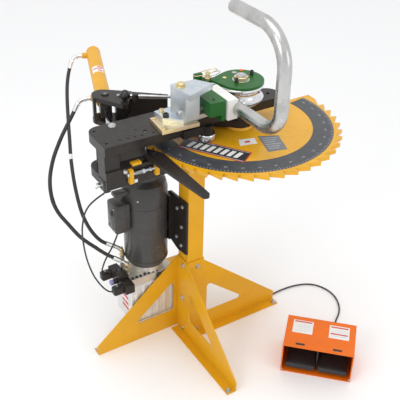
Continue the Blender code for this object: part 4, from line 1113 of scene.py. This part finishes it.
def ball_knob():
    """Smooth ball on the pawl's rod, standing for the plain lever."""
    way = Vector((0.1498, -0.1048, 0.0)).normalized()
    rod = lathe("pawl_rod", [(0.0050, 0.0), (0.0055, 0.001), (0.0055, 0.181), (0.0048, 0.182)],
                PAWL_BALL, way, STEEL, 24)
    fit(rod, "drive_pawl", "bare_steel", "drive_pawl_lever")
    boss = lathe("pawl_boss", [(0.0125, 0.0), (0.0130, 0.0006), (0.0130, 0.027), (0.0110, 0.0295)],
                 (-0.1494, 0.1846, 1.1005), UP, BLACK, 32)
    fit(boss, "drive_pawl", "black_enamel")
    profile = [(0.0060, -0.0202)]
    for k in range(1, 16):
        angle = math.pi * k / 16
        profile.append((max(0.0207 * math.sin(angle), 0.006), -0.0207 * math.cos(angle)))
    ball = lathe("pawl_ball", profile, PAWL_BALL, way, KNOB, 32)
    fit(ball, "drive_pawl", "black_plastic")


def make_cylinder_dress():
    for name, reach in (("near", 0.095), ("far", 0.540)):
        base = TRUNNION + STROKE * reach + STROKE_LEFT * 0.0435
        elbow = lathe("port_%s_hex" % name,
                      [(0.0115, 0.0), (0.0122, 0.001), (0.0122, 0.0080), (0.0105, 0.0088)],
                      base, STROKE_LEFT, BOLT, 6, 20)
        fit(elbow, "barrel", "bare_steel")
    for name, reach, width in (("front", 0.070, 0.010), ("rear", 0.552, 0.008)):
        band = lathe("barrel_%s_band" % name, [(0.0321, 0.0), (0.0330, 0.001), (0.0330, width - 0.001),
                                               (0.0321, width)], TRUNNION + STROKE * reach, STROKE,
                     YELLOW, 48)
        fit(band, "barrel", "yellow_enamel")
    start = TRUNNION + STROKE * 0.345
    arc = []
    for k in range(13):
        angle = math.radians(40 + 8 * k)
        arc.append((BARREL_SKIN * math.cos(angle), BARREL_SKIN * math.sin(angle)))
    inner = [(x * 0.992, y * 0.992) for x, y in reversed(arc)]
    wrap = Matrix((STROKE_LEFT * -1, UP, STROKE_LEFT.cross(UP) * -1)).transposed().to_4x4()
    label = slab("barrel_label", arc + inner, 0.0, 0.060, WHITE_PRINT, 0.0,
                 Matrix.Translation(start) @ wrap, 30)
    fit(label, "barrel", "white_block")
    bars = []
    for k, low in enumerate((0.006, 0.022, 0.042)):
        first, last = (44, 92) if k != 1 else (60, 128)
        span = [(0.0324 * math.cos(math.radians(first + (last - first) * n / 8)),
                 0.0324 * math.sin(math.radians(first + (last - first) * n / 8))) for n in range(9)]
        under = [(x * 0.992, y * 0.992) for x, y in reversed(span)]
        bars.append(slab("bar", span + under, low, low + 0.009, RED_PRINT, 0.0,
                         Matrix.Translation(start) @ wrap, 30))
    fit(together("barrel_label_bars", bars), "barrel", "orange_enamel")


# ---------------------------------------------------------------- power unit
def make_motor_dress():
    low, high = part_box("motor_shell")
    seam = lathe("motor_seam", [(MOTOR_RADIUS + 0.0002, 0.0), (MOTOR_RADIUS + 0.0012, 0.0008),
                                (MOTOR_RADIUS + 0.0012, 0.0052), (MOTOR_RADIUS + 0.0002, 0.006)],
                 (MOTOR.x, MOTOR.y, high[2] - 0.030), UP, MOTOR_GREY, 64)
    fit(seam, "root", "motor_grey")
    foot = lathe("motor_end_ring", [(MOTOR_RADIUS - 0.001, 0.0), (MOTOR_RADIUS + 0.0010, 0.0012),
                                    (MOTOR_RADIUS + 0.0010, 0.0088), (MOTOR_RADIUS - 0.001, 0.010)],
                 (MOTOR.x, MOTOR.y, low[2] + 0.0225), UP, MOTOR_GREY, 64)
    fit(foot, "root", "motor_grey")
    # Painted shade: dark discs stand for the shade seen through the fan cover's grille holes.
    hole_shades = []
    for radius, height, count in ((0.0640, 0.7893, 34), (0.0705, 0.7853, 38), (0.0770, 0.7812, 42)):
        for k in range(count):
            angle = 2 * math.pi * (k + radius * 500) / count
            way = Vector((math.cos(angle), math.sin(angle), 0))
            hole_shades.append((MOTOR + way * radius + UP * (height - 0.0010), (way * 0.54 + UP * 0.84)))
    for radius, count in ((0.020, 10), (0.030, 16), (0.040, 22), (0.050, 27)):
        for k in range(count):
            angle = 2 * math.pi * k / count
            hole_shades.append((MOTOR + Vector((radius * math.cos(angle), radius * math.sin(angle), 0.7872)),
                          UP))
    dot = lathe("hole", [(0.0034, 0.0), (0.0034, 0.0016)], (0, 0, 0), UP, DARK_BOLT, 8)
    spread("fan_grille_hole_shades", dot, hole_shades, "root", "black_enamel")
    mesh_disc = lathe("fan_grille", [(0.0610, 0.0), (0.0600, 0.0045), (0.0580, 0.0052), (0.0020, 0.0056)],
                      (MOTOR.x, MOTOR.y, 0.7825), UP, MOTOR_GREY, 64)
    fit(mesh_disc, "root", "motor_grey")
    bolts = ring_places(MOTOR, MOTOR_RADIUS + 0.0015, 0.722, 4, 45)
    spread("fan_cover_screws", socket_screw(0.0042, BOLT, 0.003), bolts, "root", "bare_steel")
    angle = math.radians(62)
    arc = []
    for k in range(13):
        turn = angle + math.radians(-20 + 40 * k / 12)
        reach = MOTOR_RADIUS + 0.0006
        arc.append((MOTOR.x + reach * math.cos(turn), MOTOR.y + reach * math.sin(turn)))
    back = [(MOTOR.x + (x - MOTOR.x) * 0.992, MOTOR.y + (y - MOTOR.y) * 0.992) for x, y in reversed(arc)]
    fit(slab("motor_nameplate", arc + back, 0.500, 0.545, SILVER_PRINT, 0.0, None, 30), "root",
        "bare_steel")


def make_terminal_box_dress():
    """Round-cornered cable box on the motor's side, with a rubber blank and a bracket above it."""
    low, high = BOX_LOW, BOX_HIGH
    box = bar("terminal_box_cover", low, high, MOTOR_GREY, 0.0120)
    fit(box, "root", "motor_grey", "terminal_box")
    seam = bar("terminal_box_seam", (low.x + 0.040, low.y - 0.0016, low.z - 0.0016),
               (low.x + 0.048, high.y + 0.0016, high.z + 0.0016), MOTOR_GREY, 0.0120)
    fit(seam, "root", "motor_grey")
    blank = lathe("terminal_blank", [(0.0120, 0.0), (0.0125, 0.0010), (0.0125, 0.0030), (0.0095, 0.0034),
                                     (0.0090, 0.0010)], (low.x + 0.0004, 0.112, 0.664), (-1, 0, 0),
                  PLASTIC, 28)
    fit(blank, "root", "black_plastic")
    screws = [(Vector((low.x, y, z)), Vector((-1, 0, 0))) for y in (0.096, 0.150) for z in (0.588, 0.692)]
    spread("terminal_screws", socket_screw(0.0034, BOLT, 0.0018), screws, "root", "bare_steel")
    bracket = bar("terminal_bracket", (-0.3000, 0.0920, 0.7420), (-0.2350, 0.1300, 0.7600), MOTOR_GREY,
                  0.0030)
    fit(bracket, "root", "motor_grey")
    gland = lathe("terminal_gland", [(0.0085, 0.0), (0.0090, 0.001), (0.0090, 0.006), (0.0058, 0.010)],
                  (-0.2900, 0.1100, low.z + 0.001), (0, 0, -1), PLASTIC, 20)
    fit(gland, "root", "black_plastic")


def make_bracket_bolts():
    spots = [(0.0362, 0.6475), (-0.0064, 0.6765), (-0.0013, 0.5736), (0.0396, 0.5008), (0.0009, 0.4771)]
    spread("bracket_bolts", hex_bolt(0.0070, BOLT), [(Vector((-0.0475, y, z)), Vector((-1, 0, 0)))
                                                     for y, z in spots], "root", "bare_steel")


def make_manifold_dress():
    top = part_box("pump_adaptor")[0][2] - 0.0003
    screws = [(Vector((x, TANK_LOW.y + 0.008, top)), UP) for x in
              [-0.252 + 0.0195 * k for k in range(7)]]
    spread("manifold_screws", socket_screw(0.0060, DARK_BOLT, 0.0070), screws, "root", "black_enamel")
    ring = ring_places(MOTOR, 0.0700, 0.3560, 8, 22.5)
    spread("adaptor_screws", socket_screw(0.0048, BOLT, 0.0030), ring, "root", "bare_steel")
    bands = []
    for k in range(6):
        x = TANK_LOW.x + 0.016 + k * 0.0345
        bands.append(bar("rib", (x, TANK_LOW.y - 0.0022, TANK_LOW.z + 0.012),
                         (x + 0.014, TANK_LOW.y + 0.001, TANK_HIGH.z - 0.012), TANK, 0.0010))
    fit(together("tank_ribs", bands), "root", "cast_aluminium")
    base = bar("tank_label_ground", (TANK_LOW.x - 0.0006, 0.086, 0.135),
               (TANK_LOW.x + 0.0002, 0.150, 0.222),
               WHITE_PRINT, 0.0002)
    fit(base, "root", "white_block")
    stripes = [bar("stripe", (TANK_LOW.x - 0.0009, 0.090, z), (TANK_LOW.x - 0.0004, 0.146, z + 0.014),
                   RED_PRINT, 0.0001) for z in (0.141, 0.168, 0.200)]
    fit(together("tank_label_bands", stripes), "root", "orange_enamel")
    lip = bar("tank_rim", (TANK_LOW.x - 0.0030, TANK_LOW.y - 0.0030, TANK_HIGH.z - 0.012),
              (TANK_HIGH.x + 0.0030, TANK_HIGH.y + 0.0030, TANK_HIGH.z - 0.004), TANK, 0.0015)
    fit(lip, "root", "cast_aluminium")


def make_valve_dress():
    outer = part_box("solenoid_valve")[0][0]
    coils = []
    for y in (0.035, 0.150):
        coils.append(bar("cap", (outer - 0.004, y + 0.002, 0.3020), (outer + 0.012, y + 0.028, 0.3345),
                         PLASTIC,
                         0.0030))
        coils.append(bar("hood", (outer + 0.004, y + 0.004, 0.3320), (outer + 0.030, y + 0.026, 0.3390),
                         PLASTIC,
                         0.0020))
    fit(together("coil_connectors", coils), "root", "black_plastic")
    spread("connector_screws", socket_screw(0.0034, BOLT, 0.0022),
           [(Vector((outer + 0.017, y + 0.015, 0.3388)), UP) for y in (0.035, 0.150)], "root",
           "bare_steel")
    body = bar("valve_body", (-0.3045, 0.072, 0.3385), (-0.2640, 0.134, 0.3560), BLACK, 0.0020)
    fit(body, "root", "black_enamel")
    spread("valve_screws", socket_screw(0.0045, DARK_BOLT, 0.0045),
           [(Vector((x, y, 0.3560)), UP) for x in (-0.297, -0.271) for y in (0.080, 0.126)], "root",
           "black_enamel")
    coil_nut = lathe("coil_nut", [(0.0105, 0.0), (0.0125, 0.0015), (0.0125, 0.0120), (0.0105, 0.0140)],
                     (outer + 0.0225, 0.100, 0.322), (-1, 0, 0),
                     printed("violet_plastic", (0.24, 0.25, 0.50)), 24)
    fit(coil_nut, "root", "black_plastic")
    for name, place, high_end in (("rear", FAR_HOSE[-1], 0.4120), ("front", NEAR_HOSE[-1], 0.3660)):
        fitting = lathe("port_fitting_" + name,
                        [(0.0128, 0.0), (0.0135, 0.001), (0.0135, 0.0090), (0.0112, 0.0100),
                                                 (0.0112, 0.0150)],
                        (place[0], place[1], high_end - 0.0155), UP, GOLD, 6, 20)
        fit(fitting, "root", "yellow_zinc")
    knurl = lathe("relief_lock_nut", [(0.0090, 0.0), (0.0090, 0.0040)], (-0.130, 0.0522, 0.322),
                  (0, -1, 0), BOLT, 6, 20)
    knurl.data.transform(Matrix.Translation((0, 0.0030, 0)))
    fit(knurl, "root", "bare_steel")


# ---------------------------------------------------------------- foot switch
def make_foot_switch_dress():
    place = Matrix.Translation(PEDAL_PLACE) @ Matrix.Rotation(PEDAL_TURN, 4, "Z")
    width, depth, height = 0.1485, 0.096, 0.150
    labels, slot_shades = [], []
    for x in (-0.078, 0.078):
        labels.append(bar("label", (x - 0.043, -0.008, height), (x + 0.043, 0.072, height + 0.0005),
                          WHITE_PRINT,
                          0.0001, place))
        # Painted shade: thin dark bars stand for the shade inside the guard's slots.
        slot_shades.append(bar("slot", (x - 0.019, -0.082, height - 0.0004),
                         (x + 0.019, -0.070, height + 0.0003), DARK_BOLT,
                         0.0001, place))
    fit(together("guard_labels", labels), "root", "white_block")
    lines, bands = [], []
    for x in (-0.078, 0.078):
        for k in range(4):
            y = 0.006 + 0.012 * k
            lines.append(bar("line", (x - 0.032 + 0.018 * (k % 2), y, height + 0.0005),
                             (x + 0.034, y + 0.0016, height + 0.0008), SILVER_PRINT, 0.0001, place))
        for y in (0.060,) if x < 0 else (0.058, 0.016):
            bands.append(bar("band", (x - 0.037, y, height + 0.0006),
                             (x + 0.037, y + 0.007, height + 0.0010), RED_PRINT,
                             0.0001, place))
    fit(together("guard_label_lines", lines), "root", "bare_steel")
    fit(together("guard_label_bands", bands), "root", "orange_enamel")
    fit(together("guard_slot_shades", slot_shades), "root", "black_enamel")
    rolled = []
    for x in (-width, width - 0.004):
        rolled.append(bar("lip", (x - 0.0006, -depth - 0.0015, 0.004),
                          (x + 0.0046, -depth + 0.0015, height - 0.002),
                          ORANGE, 0.0012, place))
    rolled.append(bar("lip", (-width, -depth - 0.0015, height - 0.0045), (width, -depth + 0.0015, height),
                      ORANGE, 0.0015, place))
    rolled.append(bar("lip", (-width, -depth - 0.0015, 0.0002), (width, -depth + 0.0015, 0.0048), ORANGE,
                      0.0012, place))
    fit(together("guard_rolled_edges", rolled), "root", "orange_enamel")
    turn = place.to_3x3()
    bolts = [(place @ Vector((x, -depth - 0.0012, 0.014)), turn @ Vector((0, -1, 0))) for x in (-0.143,
                                                                                                0.143)]
    spread("guard_bolts", socket_screw(0.0042, BOLT, 0.003), bolts, "root", "bare_steel")
    slope = Matrix.Rotation(math.radians(3.7), 4, "X")
    for side, centre in (("left", -0.068), ("right", 0.068)):
        lie = place @ Matrix.Translation((centre, -0.080, 0.0425)) @ slope
        pad = bar("tread_pad_" + side, (-0.0610, -0.0080, -0.0010), (0.0610, 0.150, 0.0035), PLASTIC,
                  0.0016, lie,
                  (0.007, 0.0012))
        skirt = bar("tread_lip_" + side, (centre - 0.0610, -0.0905, 0.0225),
                    (centre + 0.0610, -0.0785, 0.0440),
                    PLASTIC, 0.0030, place)
        fit(together("tread_" + side, [pad, skirt]), "pedal_" + side, "black_plastic")
    wall = bar("pedal_divider", (-0.0035, -0.060, 0.0032), (0.0035, 0.090, 0.120), PLASTIC, 0.0010, place)
    fit(wall, "root", "black_plastic")
    relief = lathe("cord_relief",
                   [(0.0078, 0.0), (0.0082, 0.002), (0.0062, 0.010), (0.0058, 0.012), (0.0050, 0.020),
                                   (0.0046, 0.024)],
                   place @ Vector((0.050, 0.110, 0.030)), turn @ Vector((0, 1, 0)), PLASTIC, 20)
    relief.data.transform(Matrix.Translation(turn @ Vector((0, -0.020, 0))))
    fit(relief, "root", "black_rubber")


# ---------------------------------------------------------------- everything together
def finish_cad():
    finish_nodes(YELLOW, "column", "leg_right", "leg_front", "leg_left", "leg_back", "stop_post_left",
                 "stop_post_right", "cylinder_barrel", "cylinder_rear_cap")
    finish_nodes(WHEEL_YELLOW, "degree_wheel")
    finish_nodes(BLACK, "frame_top_plate", "frame_bottom_plate", "drive_arm_link", "drive_arm_yoke",
                 "cylinder_trunnion_block", "power_unit_bracket", "hold_pawl_lever", "solenoid_valve")
    finish_nodes(MOTOR_GREY, "motor_shell", "motor_fan_cover", "terminal_box")
    finish_nodes(GREEN, "die_top_plate", "hook_strap", "follow_block_carrier")
    finish_nodes(ZINC, "vise_bracket", "stop_rod")
    finish_nodes(GOLD, "vise_adapter_plate")
    finish_nodes(CHROME, "bend_die", "piston_rod")
    finish_nodes(STEEL, "spindle", "spindle_nut", "rod_anchor_pin", "trunnion_pin", "hold_pawl_pin",
                 "wheel_support_roller", "vise_screw", "gear_pump", "motor_rotor", "power_toggle")
    finish_nodes(ALUMINIUM, "manifold_block", "pump_adaptor")
    finish_nodes(TANK, "oil_tank")
    finish_nodes(BRONZE, "spindle_bush")
    finish_nodes(BLOCK_WHITE, "follow_block")
    finish_nodes(ORANGE, "foot_guard")
    finish_nodes(PLASTIC, "pedal_left", "pedal_right", "relief_knob", "switch_box", "foot_cord_gland")


def make_floor():
    floor_paint = Finish("studio_floor", (0.92, 0.92, 0.92), 0.6, edge=0)
    floor_paint.set(Roughness=0.5 + floor_paint.noise(3.0) * 0.1)
    deselect()
    bpy.ops.mesh.primitive_plane_add(size=14, location=(0, 0, -0.0005))
    floor = close(begin("floor"), floor_paint.material, 0)


def make_everything():
    for step in (add_camera, make_hoses, make_pedal_cord, make_thin_cables, add_studio, make_floor,
                 finish_cad, make_stand_fasteners, make_frame_fasteners, make_wheel_roller,
                 make_stop_rod, make_switch_details, make_wheel_dress, make_die_dress,
                 make_hook_lanyard, make_tube, make_vise_dress, make_arm_dress, ball_knob,
                 make_cylinder_dress, make_motor_dress, make_terminal_box_dress, make_bracket_bolts,
                 make_manifold_dress, make_valve_dress, make_foot_switch_dress):
        step()


make_everything()
